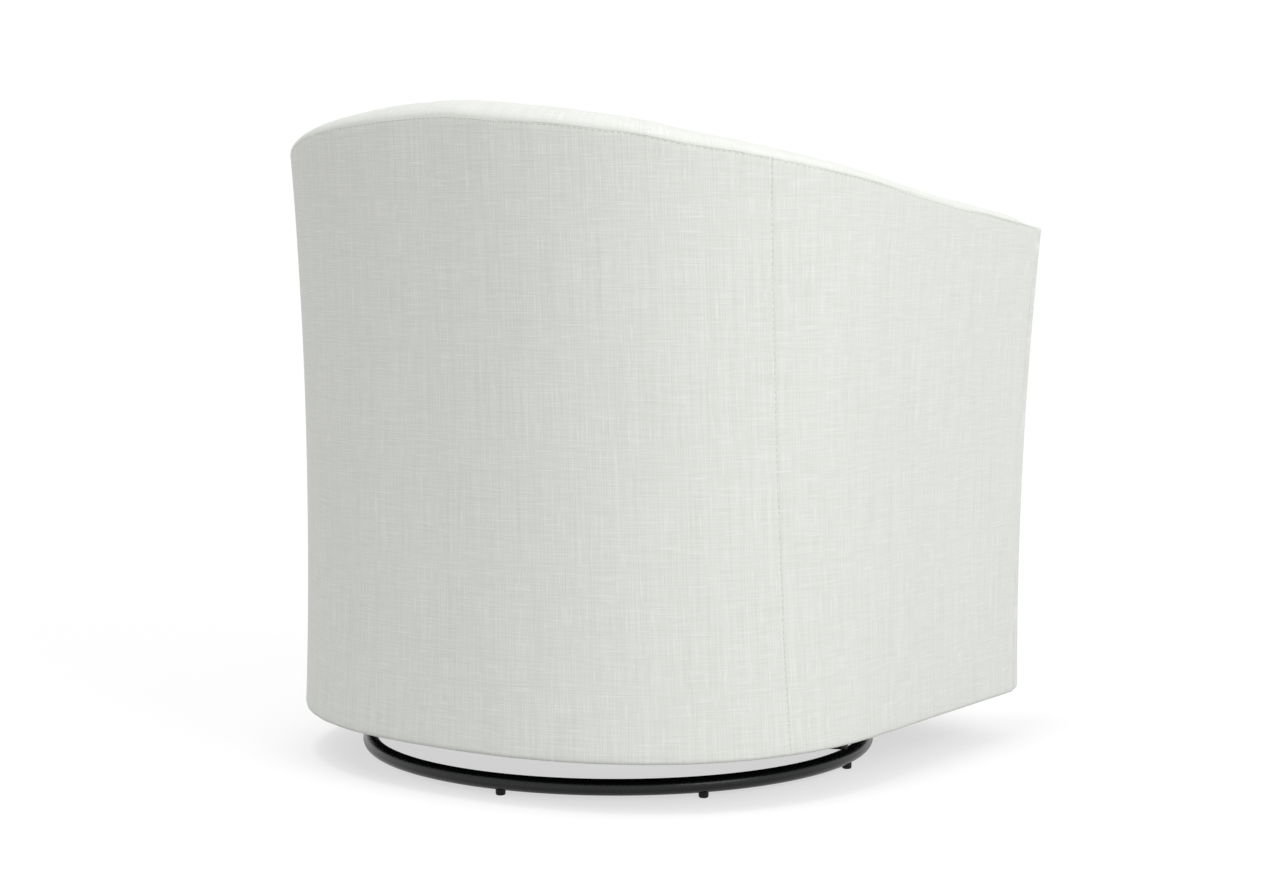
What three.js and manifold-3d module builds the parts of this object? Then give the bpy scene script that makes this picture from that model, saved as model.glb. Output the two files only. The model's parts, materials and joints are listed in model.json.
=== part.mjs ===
// Upholstered swivel barrel chair on a round tubular steel base.
// Millimetres, +Z up, floor at z = 0, swivel axis on the Z axis, the sitter faces -Y.

import * as THREE from 'three';
import { mergeVertices } from 'three/addons/utils/BufferGeometryUtils.js';
import Module from 'manifold-3d';

const wasm = await Module();
wasm.setup();

// Clearances
const gap = 0.3;
const wallGap = 0.8;
const facetAllowance = 1.2;
const overrun = 4;

// Base ring, its two crossbars and its glides
const baseTurn = THREE.MathUtils.degToRad(26);
const ringRadius = 307;
const ringTubeRadius = 9.5;
const glideProtrusion = 6;
const glideRadius = 5.75;
const glideSoleRadius = 3.8;
const glideEdgeRise = 2.4;
const crossbarOffset = 90;
const crossbarWidth = 30;
const crossbarHeight = 15;
const crossbarWall = 2;
const glideMiddleAngle = THREE.MathUtils.degToRad(28.3);
const glideSpacing = THREE.MathUtils.degToRad(44.2);

// Swivel bearing: two pressed plates, a caged ring of balls and the king pin
const lowerPlateMargin = 18;
const lowerPlateHalfWidth = 100;
const upperPlateHalfSide = 125;
const plateThickness = 3;
const raceRadius = 80;
const raceHalfWidth = 11;
const raceThickness = 3;
const raceGroove = 1;
const ballRadius = 3.5;
const ballCount = 12;
const cageHalfWidth = 6;
const cageHalfThickness = 0.8;
const kingPinRadius = 6;
const kingPinHeadRadius = 12;
const kingPinHeadThickness = 3;
const boltRadius = 4;
const boltHeadRadius = 7.5;
const boltHeadThickness = 4;
const boltGrip = 12;
const boltHoleClearance = 0.4;
const lowerBoltHalfSpacing = 60;
const upperBoltInset = 20;

// Barrel: outline of the lower edge, the rim line, and how its wall leans
const barrelHalfWidth = 377;
const barrelBackDepth = 354;
const barrelFrontDepth = 347;
const outlinePowerShare = 2.35;
const barrelBottom = 56;
const backRimHeight = 765;
const frontRimHeight = 642;
const rimDropShares = [0, 0.05, 0.15, 0.315, 0.47, 0.615, 0.765, 0.885, 1];
const backLean = 7;
const sideLean = 14;
const forwardLean = 22;
const waistDepth = 9;
const sideSeamShare = 0.704;
const sideSeamSlantShare = 0.059;
const frontSeamReach = 68;

// Layers of the barrel's wall, from the outside in
const panelThickness = 6;
const linerThickness = 3;
const ribThickness = 22;
const wallThickness = 95;
const innerPadThickness = 35;
const backRake = 35;
const innerSeamShare = 0.62;
const backRibShare = 0.25;

// Padded rim and arm facings
const backCrown = 20;
const armCrown = 13;
const frontCrown = 4;
const crownFall = 60;
const facingThickness = 14;
const facingCorner = 9;
const facingChamfer = 3;

// Timber frame and seat suspension
const bottomFrameWidth = 65;
const bottomFrameThickness = 18;
const mountingRailOffset = 90;
const mountingRailHalfWidth = 30;
const mountingRailThickness = 25;
const topRailThickness = 22;
const seatRailThickness = 22;
const seatRailHeight = 85;
const seatRailTop = 280;
const backRailClearance = 149;
const springWireRadius = 1.8;
const springHalfWidth = 24;
const springEdgeSpace = 82;
const springCount = 4;
const springHalfWaves = 10;
const deckThickness = 15;
const dustCoverThickness = 1;
const dustCoverMargin = 3;

// Front apron and loose seat cushion
const apronThickness = 10;
const apronCrown = 4;
const cushionThickness = 142;
const cushionCrown = 16;
const cushionClearance = 2;
const cushionCorner = 34;
const cushionDrawIn = 7;
const cushionEdge = 20;

// The cushion's side, from its lower face up: how far in it lies and how high, in edge widths
const cushionInShares = [1, 0.25, 0];
const cushionUpShares = [0, 0.5, 1.5];

// The cushion's top: how far in, in edge widths, and how much of the crown has risen there
const crownInShares = [3, 6];
const crownUpShares = [0.45, 0.8];

// Facet counts
const ringFacets = 72;
const tubeFacets = 12;
const ballFacets = 8;
const ballRows = 6;
const wireSegments = 3;
const measureSteps = 60;
const levelCount = 6;
const backIntervals = 16;
const cornerIntervals = 4;
const frontIntervals = 2;
const apronColumns = 6;
const apronRows = 3;
const cushionFrontColumns = 5;
const cushionCornerColumns = 3;
const cushionSideColumns = 5;

const sideLength = barrelFrontDepth - facingThickness - gap;
const ringCentreHeight = glideProtrusion + ringTubeRadius;
const crossbarBottom = ringCentreHeight + ringTubeRadius + gap;
const lowerPlateBottom = crossbarBottom + crossbarHeight + gap;
const lowerPlateTop = lowerPlateBottom + plateThickness;
const ballCentreHeight = lowerPlateTop + raceThickness - raceGroove + gap + ballRadius;
const upperPlateBottom = 2 * ballCentreHeight - lowerPlateTop;
const upperPlateTop = upperPlateBottom + plateThickness;
const frameBottom = upperPlateTop + gap;
const ribInset = panelThickness + linerThickness + 2 * wallGap;
const padInset = wallThickness - innerPadThickness;
const ribInnerInset = padInset - wallGap;
const frontSeamStation = 1 + frontSeamReach / sideLength;
const backRailReach = barrelBackDepth - backRailClearance;
const deckBottom = seatRailTop + 2 * springWireRadius + 2 * gap;
const deckTop = deckBottom + deckThickness;

const steel = { color: 0x141517, roughness: 0.42, metalness: 0.7 };
const zinc = { color: 0x9a9c9e, roughness: 0.4, metalness: 0.9 };
const plastic = { color: 0x101112, roughness: 0.55, metalness: 0 };
const timber = { color: 0xc7a778, roughness: 0.75, metalness: 0 };
const board = { color: 0xb39a74, roughness: 0.9, metalness: 0 };
const linen = { color: 0xe9eae3, roughness: 0.92, metalness: 0 };
const blackCloth = { color: 0x1c1c1e, roughness: 0.95, metalness: 0 };

const chair = new THREE.Group();
const base = new THREE.Group();
const bearing = new THREE.Group();
const seat = new THREE.Group();
base.rotation.z = baseTurn;
bearing.rotation.z = baseTurn;
chair.add(base, bearing, seat);

function addPiece(group, name, geometry, finish) {
  const piece = new THREE.Mesh(geometry, new THREE.MeshStandardMaterial(finish));
  piece.name = name;
  group.add(piece);
  return piece;
}

// Booleans

function toSolid(geometry) {
  const bare = geometry.clone();
  bare.deleteAttribute('normal');
  bare.deleteAttribute('uv');
  const merged = mergeVertices(bare);
  const vertProperties = new Float32Array(merged.attributes.position.array);
  const triVerts = new Uint32Array(merged.index.array);
  return new wasm.Manifold(new wasm.Mesh({ numProp: 3, vertProperties, triVerts }));
}

function toGeometry(solid) {
  const result = solid.getMesh();
  const geometry = new THREE.BufferGeometry();
  geometry.setAttribute('position', new THREE.BufferAttribute(result.vertProperties, 3));
  geometry.setIndex(new THREE.BufferAttribute(result.triVerts, 1));
  geometry.computeVertexNormals();
  return geometry;
}

function cut(geometry, cutters) {
  let solid = toSolid(geometry);
  for (const cutter of cutters) solid = solid.subtract(toSolid(cutter));
  return toGeometry(solid);
}

function join(geometries) {
  let solid = toSolid(geometries[0]);
  for (const geometry of geometries.slice(1)) solid = solid.add(toSolid(geometry));
  return toGeometry(solid);
}

// Simple upright shapes, given by their lowest and highest z

function uprightCylinder(radius, low, high, facets) {
  const geometry = new THREE.CylinderGeometry(radius, radius, high - low, facets);
  geometry.rotateX(Math.PI / 2);
  geometry.translate(0, 0, (low + high) / 2);
  return geometry;
}

function block(xs, ys, zs) {
  const geometry = new THREE.BoxGeometry(xs[1] - xs[0], ys[1] - ys[0], zs[1] - zs[0]);
  geometry.translate((xs[0] + xs[1]) / 2, (ys[0] + ys[1]) / 2, (zs[0] + zs[1]) / 2);
  return geometry;
}

function turned(profile, facets) {
  const points = profile.map(([radius, z]) => new THREE.Vector2(radius, z));
  const signedArea = points.reduce((sum, point, i) => {
    return sum + point.cross(points[(i + 1) % points.length]);
  }, 0);
  const geometry = new THREE.LatheGeometry(signedArea > 0 ? points : points.reverse(), facets);
  geometry.rotateX(Math.PI / 2);
  return geometry;
}

function plate(halfX, halfY, low, high, holes) {
  const shape = new THREE.Shape();
  shape.moveTo(-halfX, -halfY);
  shape.lineTo(halfX, -halfY);
  shape.lineTo(halfX, halfY);
  shape.lineTo(-halfX, halfY);
  shape.closePath();
  for (const [x, y, radius] of holes) {
    const hole = new THREE.Path();
    hole.absarc(x, y, radius, 0, 2 * Math.PI, true);
    shape.holes.push(hole);
  }
  const settings = { depth: high - low, bevelEnabled: false, curveSegments: tubeFacets / 2 };
  const geometry = new THREE.ExtrudeGeometry(shape, settings);
  geometry.translate(0, 0, low);
  return geometry;
}

// Lofted solids. Every ring of points is two rails, one out and one back, with as many points
// each, so that both ends close with a strip of faces from rail to rail.

function closedSolid(points, faces) {
  let volume = 0;
  for (const [a, b, c] of faces) volume += points[a].dot(points[b].clone().cross(points[c]));
  const outward = volume < 0 ? faces.map(([a, b, c]) => [a, c, b]) : faces;
  const geometry = new THREE.BufferGeometry().setFromPoints(points);
  geometry.setIndex(outward.flat());
  geometry.computeVertexNormals();
  return geometry;
}

function sideFaces(ringCount, size) {
  const faces = [];
  for (let ring = 0; ring < ringCount - 1; ring++) {
    for (let i = 0; i < size; i++) {
      const a = ring * size + i;
      const b = ring * size + ((i + 1) % size);
      faces.push([a, b, b + size], [a, b + size, a + size]);
    }
  }
  return faces;
}

function loftRails(rings) {
  const size = rings[0].length;
  const last = (rings.length - 1) * size;
  const faces = sideFaces(rings.length, size);
  for (let i = 0; i < size / 2 - 1; i++) {
    const [a, b, c, d] = [i, i + 1, size - 2 - i, size - 1 - i];
    faces.push([a, c, b], [a, d, c], [last + a, last + b, last + c], [last + a, last + c, last + d]);
  }
  return closedSolid(rings.flat(), faces);
}

function loftPoles(rings, firstPole, lastPole) {
  const size = rings[0].length;
  const first = rings.length * size;
  const last = (rings.length - 1) * size;
  const faces = sideFaces(rings.length, size);
  for (let i = 0; i < size; i++) {
    const next = (i + 1) % size;
    faces.push([first, next, i], [first + 1, last + i, last + next]);
  }
  return closedSolid([...rings.flat(), firstPole, lastPole], faces);
}

// Barrel surface. A station is 0 at the middle of the back, 1 where the side turns straight
// beside the axis, and 2 at the front; it is negative on the sitter's right, towards -X.

function lowerEdge(station) {
  if (station >= 1) {
    return { x: barrelHalfWidth, y: -(station - 1) * sideLength, nx: 1, ny: 0 };
  }
  const power = outlinePowerShare;
  const across = Math.sin(station * Math.PI / 2);
  const along = Math.cos(station * Math.PI / 2);
  const inverse = (across / barrelHalfWidth) ** power + (along / barrelBackDepth) ** power;
  const radius = inverse ** (-1 / power);
  const x = radius * across;
  const y = radius * along;
  const slopeX = (x / barrelHalfWidth) ** (power - 1) / barrelHalfWidth;
  const slopeY = (y / barrelBackDepth) ** (power - 1) / barrelBackDepth;
  const size = Math.hypot(slopeX, slopeY);
  return { x, y, nx: slopeX / size, ny: slopeY / size };
}

function quarterLength() {
  let length = 0;
  for (let i = 0; i < measureSteps; i++) {
    const here = lowerEdge(i / measureSteps);
    const next = lowerEdge((i + 1) / measureSteps);
    length += Math.hypot(next.x - here.x, next.y - here.y);
  }
  return length;
}

const backLength = quarterLength();
const backPathShare = backLength / (backLength + sideLength);

function pathShare(station) {
  if (station < 1) return station * backPathShare;
  return backPathShare + (station - 1) * (1 - backPathShare);
}

function shareAt(shares, place) {
  const steps = shares.length - 1;
  const scaled = Math.min(Math.max(place, 0), 1) * steps;
  const i = Math.min(Math.floor(scaled), steps - 1);
  const t = scaled - i;
  const before = i > 0 ? shares[i - 1] : shares[1];
  const after = i + 2 <= steps ? shares[i + 2] : 2 * shares[steps] - shares[steps - 1];
  const startSlope = (shares[i + 1] - before) / 2;
  const endSlope = (after - shares[i]) / 2;
  const rise = shares[i + 1] - shares[i];
  return shares[i] + t * startSlope + t * t * (3 * rise - 2 * startSlope - endSlope)
    + t * t * t * (startSlope + endSlope - 2 * rise);
}

// The seams of the side panels lean back as they rise, and the wall's stations lean with them.
function slanted(station, rise) {
  const back = station / sideSeamShare;
  const front = (frontSeamStation - station) / (frontSeamStation - sideSeamShare);
  const weight = Math.max(0, Math.min(back, front));
  return station + sideSeamSlantShare * (0.5 - rise) * weight;
}

function rimHeight(station) {
  const place = pathShare(slanted(Math.abs(station), 1));
  return backRimHeight - (backRimHeight - frontRimHeight) * shareAt(rimDropShares, place);
}

function forwardAt(rise) {
  return forwardLean * rise;
}

// A bow that is 0 at both ends of a length and 1 at its middle.
function bow(share) {
  return 4 * share * (1 - share);
}

function wallPoint(station, inset, z) {
  const place = Math.abs(station);
  const rise = (z - barrelBottom) / (rimHeight(station) - barrelBottom);
  const edge = lowerEdge(slanted(place, rise));
  const lean = THREE.MathUtils.lerp(backLean, sideLean, Math.min(place, 1));
  const outward = lean * rise - waistDepth * bow(rise) - inset;
  const forward = forwardAt(rise) * Math.max(0, place - 1);
  const side = station < 0 ? -1 : 1;
  const x = side * (edge.x + edge.nx * outward);
  return new THREE.Vector3(x, edge.y + edge.ny * outward - forward, z);
}

// Stations of the barrel's wall: the same on every layer, so that the facets of neighbours match.
const crownFallStation = 2 - crownFall / sideLength;
const seamStations = [0, sideSeamShare, 1, frontSeamStation, crownFallStation, 2];
const seamIntervals = [backIntervals / 2, cornerIntervals, 1, frontIntervals, frontIntervals];

function halfStations() {
  const stations = [];
  seamIntervals.forEach((count, part) => {
    for (let i = 0; i < count; i++) {
      stations.push(THREE.MathUtils.lerp(seamStations[part], seamStations[part + 1], i / count));
    }
  });
  return [...stations, 2];
}

const rightHalf = halfStations();
const allStations = [...rightHalf.slice(1).map((station) => -station).reverse(), ...rightHalf];

function stationShift(station, distance) {
  return distance / (Math.abs(station) < 1 ? backLength : sideLength);
}

// The stations from one limit to another, with half a clearance left at each end that isn't free.
function stationsBetween(from, to) {
  const start = Math.abs(from) < 2 ? from + stationShift(from, gap / 2) : from;
  const end = Math.abs(to) < 2 ? to - stationShift(to, gap / 2) : to;
  const margin = stationShift(0, overrun);
  const inner = allStations.filter((s) => s > start + margin && s < end - margin);
  return [start, ...inner, end];
}

function mirrored(from, to, side) {
  return side > 0 ? stationsBetween(from, to) : stationsBetween(-to, -from);
}

// A layer of the wall between two insets and two heights, each a function of the station.
function wallLayer(stations, outer, inner, low, high, levels) {
  const rings = stations.map((station) => {
    const bottom = low(station);
    const top = high(station);
    const heights = [];
    for (let i = 0; i <= levels; i++) heights.push(THREE.MathUtils.lerp(bottom, top, i / levels));
    const out = heights.map((z) => wallPoint(station, outer(station, z), z));
    const back = heights.map((z) => wallPoint(station, inner(station, z), z));
    return [...out, ...back.reverse()];
  });
  return loftRails(rings);
}

const sides = [['left', 1], ['right', -1]];

// Base ring, crossbars and glides

function buildRing() {
  const geometry = new THREE.TorusGeometry(ringRadius, ringTubeRadius, tubeFacets, ringFacets);
  const ring = addPiece(base, 'base_ring', geometry, steel);
  ring.position.z = ringCentreHeight;
}

const crossbarHalfLength = Math.sqrt(ringRadius ** 2 - crossbarOffset ** 2);

function buildCrossbar(name, side) {
  const profile = new THREE.Shape();
  const half = crossbarWidth / 2;
  profile.moveTo(-half, 0);
  profile.lineTo(half, 0);
  profile.lineTo(half, crossbarHeight);
  profile.lineTo(-half, crossbarHeight);
  profile.closePath();
  const bore = new THREE.Path();
  bore.moveTo(crossbarWall - half, crossbarWall);
  bore.lineTo(crossbarWall - half, crossbarHeight - crossbarWall);
  bore.lineTo(half - crossbarWall, crossbarHeight - crossbarWall);
  bore.lineTo(half - crossbarWall, crossbarWall);
  bore.closePath();
  profile.holes.push(bore);
  const length = 2 * crossbarHalfLength;
  const geometry = new THREE.ExtrudeGeometry(profile, { depth: length, bevelEnabled: false });
  geometry.translate(0, 0, -crossbarHalfLength);
  geometry.rotateX(Math.PI / 2);
  geometry.rotateZ(Math.PI / 2);
  geometry.translate(0, side * crossbarOffset, crossbarBottom);
  const low = crossbarBottom + crossbarHeight - crossbarWall - gap;
  const drills = [-1, 1].map((end) => {
    const drill = uprightCylinder(boltRadius + boltHoleClearance, low, lowerPlateTop, tubeFacets);
    return drill.translate(end * lowerBoltHalfSpacing, side * crossbarOffset, 0);
  });
  addPiece(base, name, cut(geometry, drills), steel);
}

function glideAngles() {
  const half = [-1, 0, 1].map((step) => glideMiddleAngle + step * glideSpacing);
  return [...half, ...half.map((angle) => angle + Math.PI)];
}

function buildGlide(number, angle) {
  const top = ringCentreHeight - ringTubeRadius + glideEdgeRise;
  const profile = [
    [0, 0],
    [glideSoleRadius, 0],
    [glideRadius, glideEdgeRise],
    [glideRadius, top],
    [0, top],
  ];
  const saddle = new THREE.CylinderGeometry(
    ringTubeRadius + gap, ringTubeRadius + gap, 2 * glideRadius + overrun, 2 * tubeFacets);
  saddle.rotateZ(Math.PI / 2);
  saddle.translate(0, 0, ringCentreHeight);
  const glide = addPiece(base, `glide_${number}`, cut(turned(profile, tubeFacets), [saddle]), plastic);
  glide.position.set(-ringRadius * Math.sin(angle), ringRadius * Math.cos(angle), 0);
  glide.rotation.z = angle;
}

// Swivel bearing

function raceRing(low, high, grooveZ) {
  const profile = [
    [raceRadius - raceHalfWidth, low],
    [raceRadius - raceHalfWidth, high],
    [raceRadius, high],
    [raceRadius + raceHalfWidth, high],
    [raceRadius + raceHalfWidth, low],
    [raceRadius, low],
    [raceRadius - raceHalfWidth, low],
  ];
  profile[grooveZ > (low + high) / 2 ? 2 : 5][1] = grooveZ;
  return turned(profile, 2 * tubeFacets);
}

function buildLowerPlate() {
  const holeRadius = boltRadius + boltHoleClearance;
  const holes = [[0, 0, kingPinRadius + gap]];
  for (const x of [-lowerBoltHalfSpacing, lowerBoltHalfSpacing]) {
    for (const y of [-crossbarOffset, crossbarOffset]) holes.push([x, y, holeRadius]);
  }
  const sheet = plate(
    lowerPlateHalfWidth, crossbarOffset + lowerPlateMargin, lowerPlateBottom, lowerPlateTop, holes);
  const top = lowerPlateTop + raceThickness;
  const race = raceRing(lowerPlateTop - plateThickness / 2, top, top - raceGroove);
  addPiece(base, 'swivel_lower_plate', join([sheet, race]), zinc);
}

function buildUpperPlate() {
  const bolt = upperPlateHalfSide - upperBoltInset;
  const holes = [[0, 0, kingPinRadius + gap]];
  for (const x of [-bolt, bolt]) {
    for (const y of [-mountingRailOffset, mountingRailOffset]) {
      holes.push([x, y, boltRadius + boltHoleClearance]);
    }
  }
  const sheet = plate(
    upperPlateHalfSide, upperPlateHalfSide, upperPlateBottom, upperPlateTop, holes);
  const bottom = upperPlateBottom - raceThickness;
  const race = raceRing(bottom, upperPlateBottom + plateThickness / 2, bottom + raceGroove);
  addPiece(seat, 'swivel_upper_plate', join([sheet, race]), zinc);
}

function buildBallCage() {
  const low = ballCentreHeight - cageHalfThickness;
  const high = ballCentreHeight + cageHalfThickness;
  const ring = turned([
    [raceRadius - cageHalfWidth, low],
    [raceRadius - cageHalfWidth, high],
    [raceRadius + cageHalfWidth, high],
    [raceRadius + cageHalfWidth, low],
    [raceRadius - cageHalfWidth, low],
  ], 2 * tubeFacets);
  const balls = [];
  for (let i = 0; i < ballCount; i++) {
    const ball = new THREE.SphereGeometry(ballRadius, ballFacets, ballRows);
    ball.rotateX(Math.PI / 2);
    ball.translate(raceRadius, 0, ballCentreHeight);
    ball.rotateZ(i * 2 * Math.PI / ballCount);
    balls.push(ball);
  }
  addPiece(bearing, 'ball_cage', join([ring, ...balls]), zinc);
}

function buildKingPin() {
  const low = lowerPlateBottom - gap;
  const high = upperPlateTop + gap;
  const profile = [
    [0, low - kingPinHeadThickness],
    [kingPinHeadRadius, low - kingPinHeadThickness],
    [kingPinHeadRadius, low],
    [kingPinRadius, low],
    [kingPinRadius, high],
    [kingPinHeadRadius, high],
    [kingPinHeadRadius, high + kingPinHeadThickness],
    [0, high + kingPinHeadThickness],
  ];
  addPiece(base, 'king_pin', turned(profile, tubeFacets), zinc);
}

function boltGeometry(shankLength) {
  const head = uprightCylinder(boltHeadRadius, 0, boltHeadThickness, tubeFacets / 2);
  const shank = uprightCylinder(boltRadius, -shankLength, boltHeadThickness / 2, tubeFacets);
  return join([head, shank]);
}

function buildLowerBolts() {
  const shank = plateThickness + 2 * gap + crossbarWall;
  let number = 1;
  for (const x of [-lowerBoltHalfSpacing, lowerBoltHalfSpacing]) {
    for (const y of [-crossbarOffset, crossbarOffset]) {
      const bolt = addPiece(base, `plate_bolt_${number}`, boltGeometry(shank), zinc);
      bolt.position.set(x, y, lowerPlateTop + gap);
      number += 1;
    }
  }
}

function buildUpperBolts() {
  const place = upperPlateHalfSide - upperBoltInset;
  const shank = plateThickness + 2 * gap + boltGrip;
  let number = 1;
  for (const x of [-place, place]) {
    for (const y of [-mountingRailOffset, mountingRailOffset]) {
      const bolt = addPiece(seat, `rail_bolt_${number}`, boltGeometry(shank), zinc);
      bolt.rotation.x = Math.PI;
      bolt.position.set(x, y, upperPlateBottom - gap);
      number += 1;
    }
  }
}

// Timber frame

function buildMountingRail(name, side) {
  const centre = side * mountingRailOffset;
  const half = barrelHalfWidth - ribInset - bottomFrameWidth / 2;
  const ys = [centre - mountingRailHalfWidth, centre + mountingRailHalfWidth];
  const rail = block([-half, half], ys, [frameBottom, frameBottom + mountingRailThickness]);
  const place = upperPlateHalfSide - upperBoltInset;
  const top = upperPlateTop + 2 * gap + boltGrip;
  const drills = [-place, place].map((x) => {
    const hole = uprightCylinder(boltRadius + boltHoleClearance, upperPlateBottom, top, tubeFacets);
    return hole.translate(x, centre, 0);
  });
  const outer = () => -overrun;
  const inner = () => ribInset + bottomFrameWidth + gap;
  const low = () => frameBottom - overrun;
  const high = () => frameBottom + mountingRailThickness + overrun;
  const frameRoom = wallLayer(allStations, outer, inner, low, high, 1);
  addPiece(seat, name, cut(rail, [...drills, frameRoom]), timber);
}

function buildBottomFrame() {
  const outer = () => ribInset;
  const inner = () => ribInset + bottomFrameWidth;
  const low = () => frameBottom;
  const high = () => frameBottom + bottomFrameThickness;
  const curved = wallLayer(allStations, outer, inner, low, high, 1);
  const half = barrelHalfWidth - ribInset - bottomFrameWidth / 2;
  const front = -sideLength;
  const bar = block(
    [-half, half], [front, front + bottomFrameWidth], [frameBottom, frameBottom + bottomFrameThickness]);
  addPiece(seat, 'bottom_frame', join([curved, bar]), timber);
}

function buildRib(name, station) {
  const half = stationShift(station, ribThickness / 2);
  const stations = [station - half, station + half];
  const low = () => frameBottom + bottomFrameThickness + gap;
  const high = (s) => rimHeight(s) - topRailThickness - 2 * wallGap;
  const outer = () => ribInset + facetAllowance;
  const rib = wallLayer(stations, outer, () => ribInnerInset, low, high, levelCount);
  addPiece(seat, name, rib, timber);
}

function buildTopRail(name, stations) {
  const low = (s) => rimHeight(s) - topRailThickness - wallGap;
  const high = (s) => rimHeight(s) - wallGap;
  const rail = wallLayer(stations, () => ribInset, () => ribInnerInset, low, high, 1);
  addPiece(seat, name, rail, timber);
}

// Half the clear width between the inner faces of two ribs, over the height of the seat rails.
function clearHalf(station) {
  const low = seatRailTop - seatRailHeight;
  const heights = [low, (low + seatRailTop) / 2, seatRailTop];
  return Math.min(...heights.map((z) => wallPoint(station, ribInnerInset, z).x)) - wallGap;
}

const sideRailOuterHalf = clearHalf(sideSeamShare - stationShift(0, ribThickness / 2));
const sideRailInnerHalf = sideRailOuterHalf - seatRailThickness;

function buildSeatRails() {
  const zs = [seatRailTop - seatRailHeight, seatRailTop];
  const front = -sideLength + gap;
  const backOfFront = front + seatRailThickness;
  const sideYs = [backOfFront + gap, backRailReach];
  for (const [name, side] of sides) {
    const xs = [side * sideRailInnerHalf, side * sideRailOuterHalf].sort((a, b) => a - b);
    addPiece(seat, `seat_rail_${name}`, block(xs, sideYs, zs), timber);
  }
  const frontHalf = clearHalf(2);
  const frontXs = [-frontHalf, frontHalf];
  const backXs = [-sideRailOuterHalf, sideRailOuterHalf];
  const backYs = [backRailReach + gap, backRailReach + gap + seatRailThickness];
  addPiece(seat, 'seat_rail_front', block(frontXs, [front, backOfFront], zs), timber);
  addPiece(seat, 'seat_rail_back', block(backXs, backYs, zs), timber);
}

function buildSpring(number) {
  const spacing = 2 * (sideRailInnerHalf - springEdgeSpace) / (springCount - 1);
  const x = (number - (springCount + 1) / 2) * spacing;
  const front = -sideLength + gap + seatRailThickness / 2;
  const back = backRailReach + gap + seatRailThickness / 2;
  const z = seatRailTop + gap + springWireRadius;
  const points = [];
  for (let i = 0; i <= 2 * springHalfWaves; i++) {
    const share = i / (2 * springHalfWaves);
    const swing = i % 2 === 0 ? 0 : (i % 4 === 1 ? 1 : -1) * springHalfWidth;
    points.push(new THREE.Vector3(x + swing, THREE.MathUtils.lerp(front, back, share), z));
  }
  const path = new THREE.CatmullRomCurve3(points, false, 'centripetal');
  const section = new THREE.Shape();
  section.absarc(0, 0, springWireRadius, 0, 2 * Math.PI, false);
  const settings = {
    steps: 4 * springHalfWaves,
    bevelEnabled: false,
    extrudePath: path,
    curveSegments: wireSegments,
  };
  addPiece(seat, `seat_spring_${number}`, new THREE.ExtrudeGeometry(section, settings), zinc);
}

// Flat cloths and pads cut to the barrel's inside

function plateOutline(inset, z, front) {
  const curved = allStations.filter((s) => Math.abs(s) <= 1);
  const points = curved.map((s) => wallPoint(s, inset(s, z), z));
  const half = wallPoint(1, inset(1, z), z).x;
  const outline = points.map((p) => new THREE.Vector2(p.x, p.y));
  return new THREE.Shape([...outline, new THREE.Vector2(half, front), new THREE.Vector2(-half, front)]);
}

function buildDustCover() {
  const shape = plateOutline(() => ribInset, barrelBottom, -sideLength);
  const half = upperPlateHalfSide + dustCoverMargin;
  const corners = [[-half, -half], [half, -half], [half, half], [-half, half]];
  shape.holes.push(new THREE.Path(corners.map(([x, y]) => new THREE.Vector2(x, y))));
  const settings = { depth: dustCoverThickness, bevelEnabled: false };
  const cover = new THREE.ExtrudeGeometry(shape, settings);
  cover.translate(0, 0, frameBottom - gap - dustCoverThickness);
  addPiece(seat, 'dust_cover', cover, blackCloth);
}

function innerInset(station, z) {
  const place = Math.min(Math.abs(station), 1);
  const rise = (z - deckBottom) / (rimHeight(station) - deckBottom);
  return wallThickness + backRake * Math.cos(place * Math.PI / 2) ** 2 * (1 - Math.min(rise, 1));
}

function buildDeck() {
  const inset = (s, z) => innerInset(s, z) + wallGap;
  const shape = plateOutline(inset, deckBottom, -sideLength + gap);
  const deck = new THREE.ExtrudeGeometry(shape, { depth: deckThickness, bevelEnabled: false });
  deck.translate(0, 0, deckBottom);
  addPiece(seat, 'seat_deck', deck, blackCloth);
}

// Outside covers and the stiff liner behind them

function buildOutsideCover(name, stations) {
  const low = () => barrelBottom;
  const high = (s) => rimHeight(s) - gap;
  const cover = wallLayer(stations, () => 0, () => panelThickness, low, high, levelCount);
  addPiece(seat, name, cover, linen);
}

function buildLiner() {
  const inset = panelThickness + wallGap;
  const low = () => barrelBottom + gap;
  const high = (s) => rimHeight(s) - gap;
  const stations = stationsBetween(-2, 2);
  const liner = wallLayer(stations, () => inset, () => inset + linerThickness, low, high, levelCount);
  addPiece(seat, 'barrel_liner', liner, board);
}

function buildInsidePad(name, stations) {
  const low = () => deckBottom;
  const high = (s) => rimHeight(s) - wallGap;
  const pad = wallLayer(stations, () => padInset, innerInset, low, high, levelCount);
  addPiece(seat, name, pad, linen);
}

// Padded rim. Its crown is full over the back, lower on the arms and falls away at the front.

function crownAt(station) {
  const place = Math.abs(station);
  const along = THREE.MathUtils.lerp(backCrown, armCrown, Math.min(pathShare(place), 1));
  const fromFront = (2 - place) * sideLength;
  return THREE.MathUtils.lerp(frontCrown, along, Math.min(1, Math.max(0, fromFront / crownFall)));
}

const rimInsetShares = [0, 0.02, 0.1, 0.28, 0.5, 0.72, 0.9, 0.98, 1];
const rimCrownShares = [0, 0.35, 0.75, 0.97, 1, 0.97, 0.75, 0.35, 0];

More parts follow.
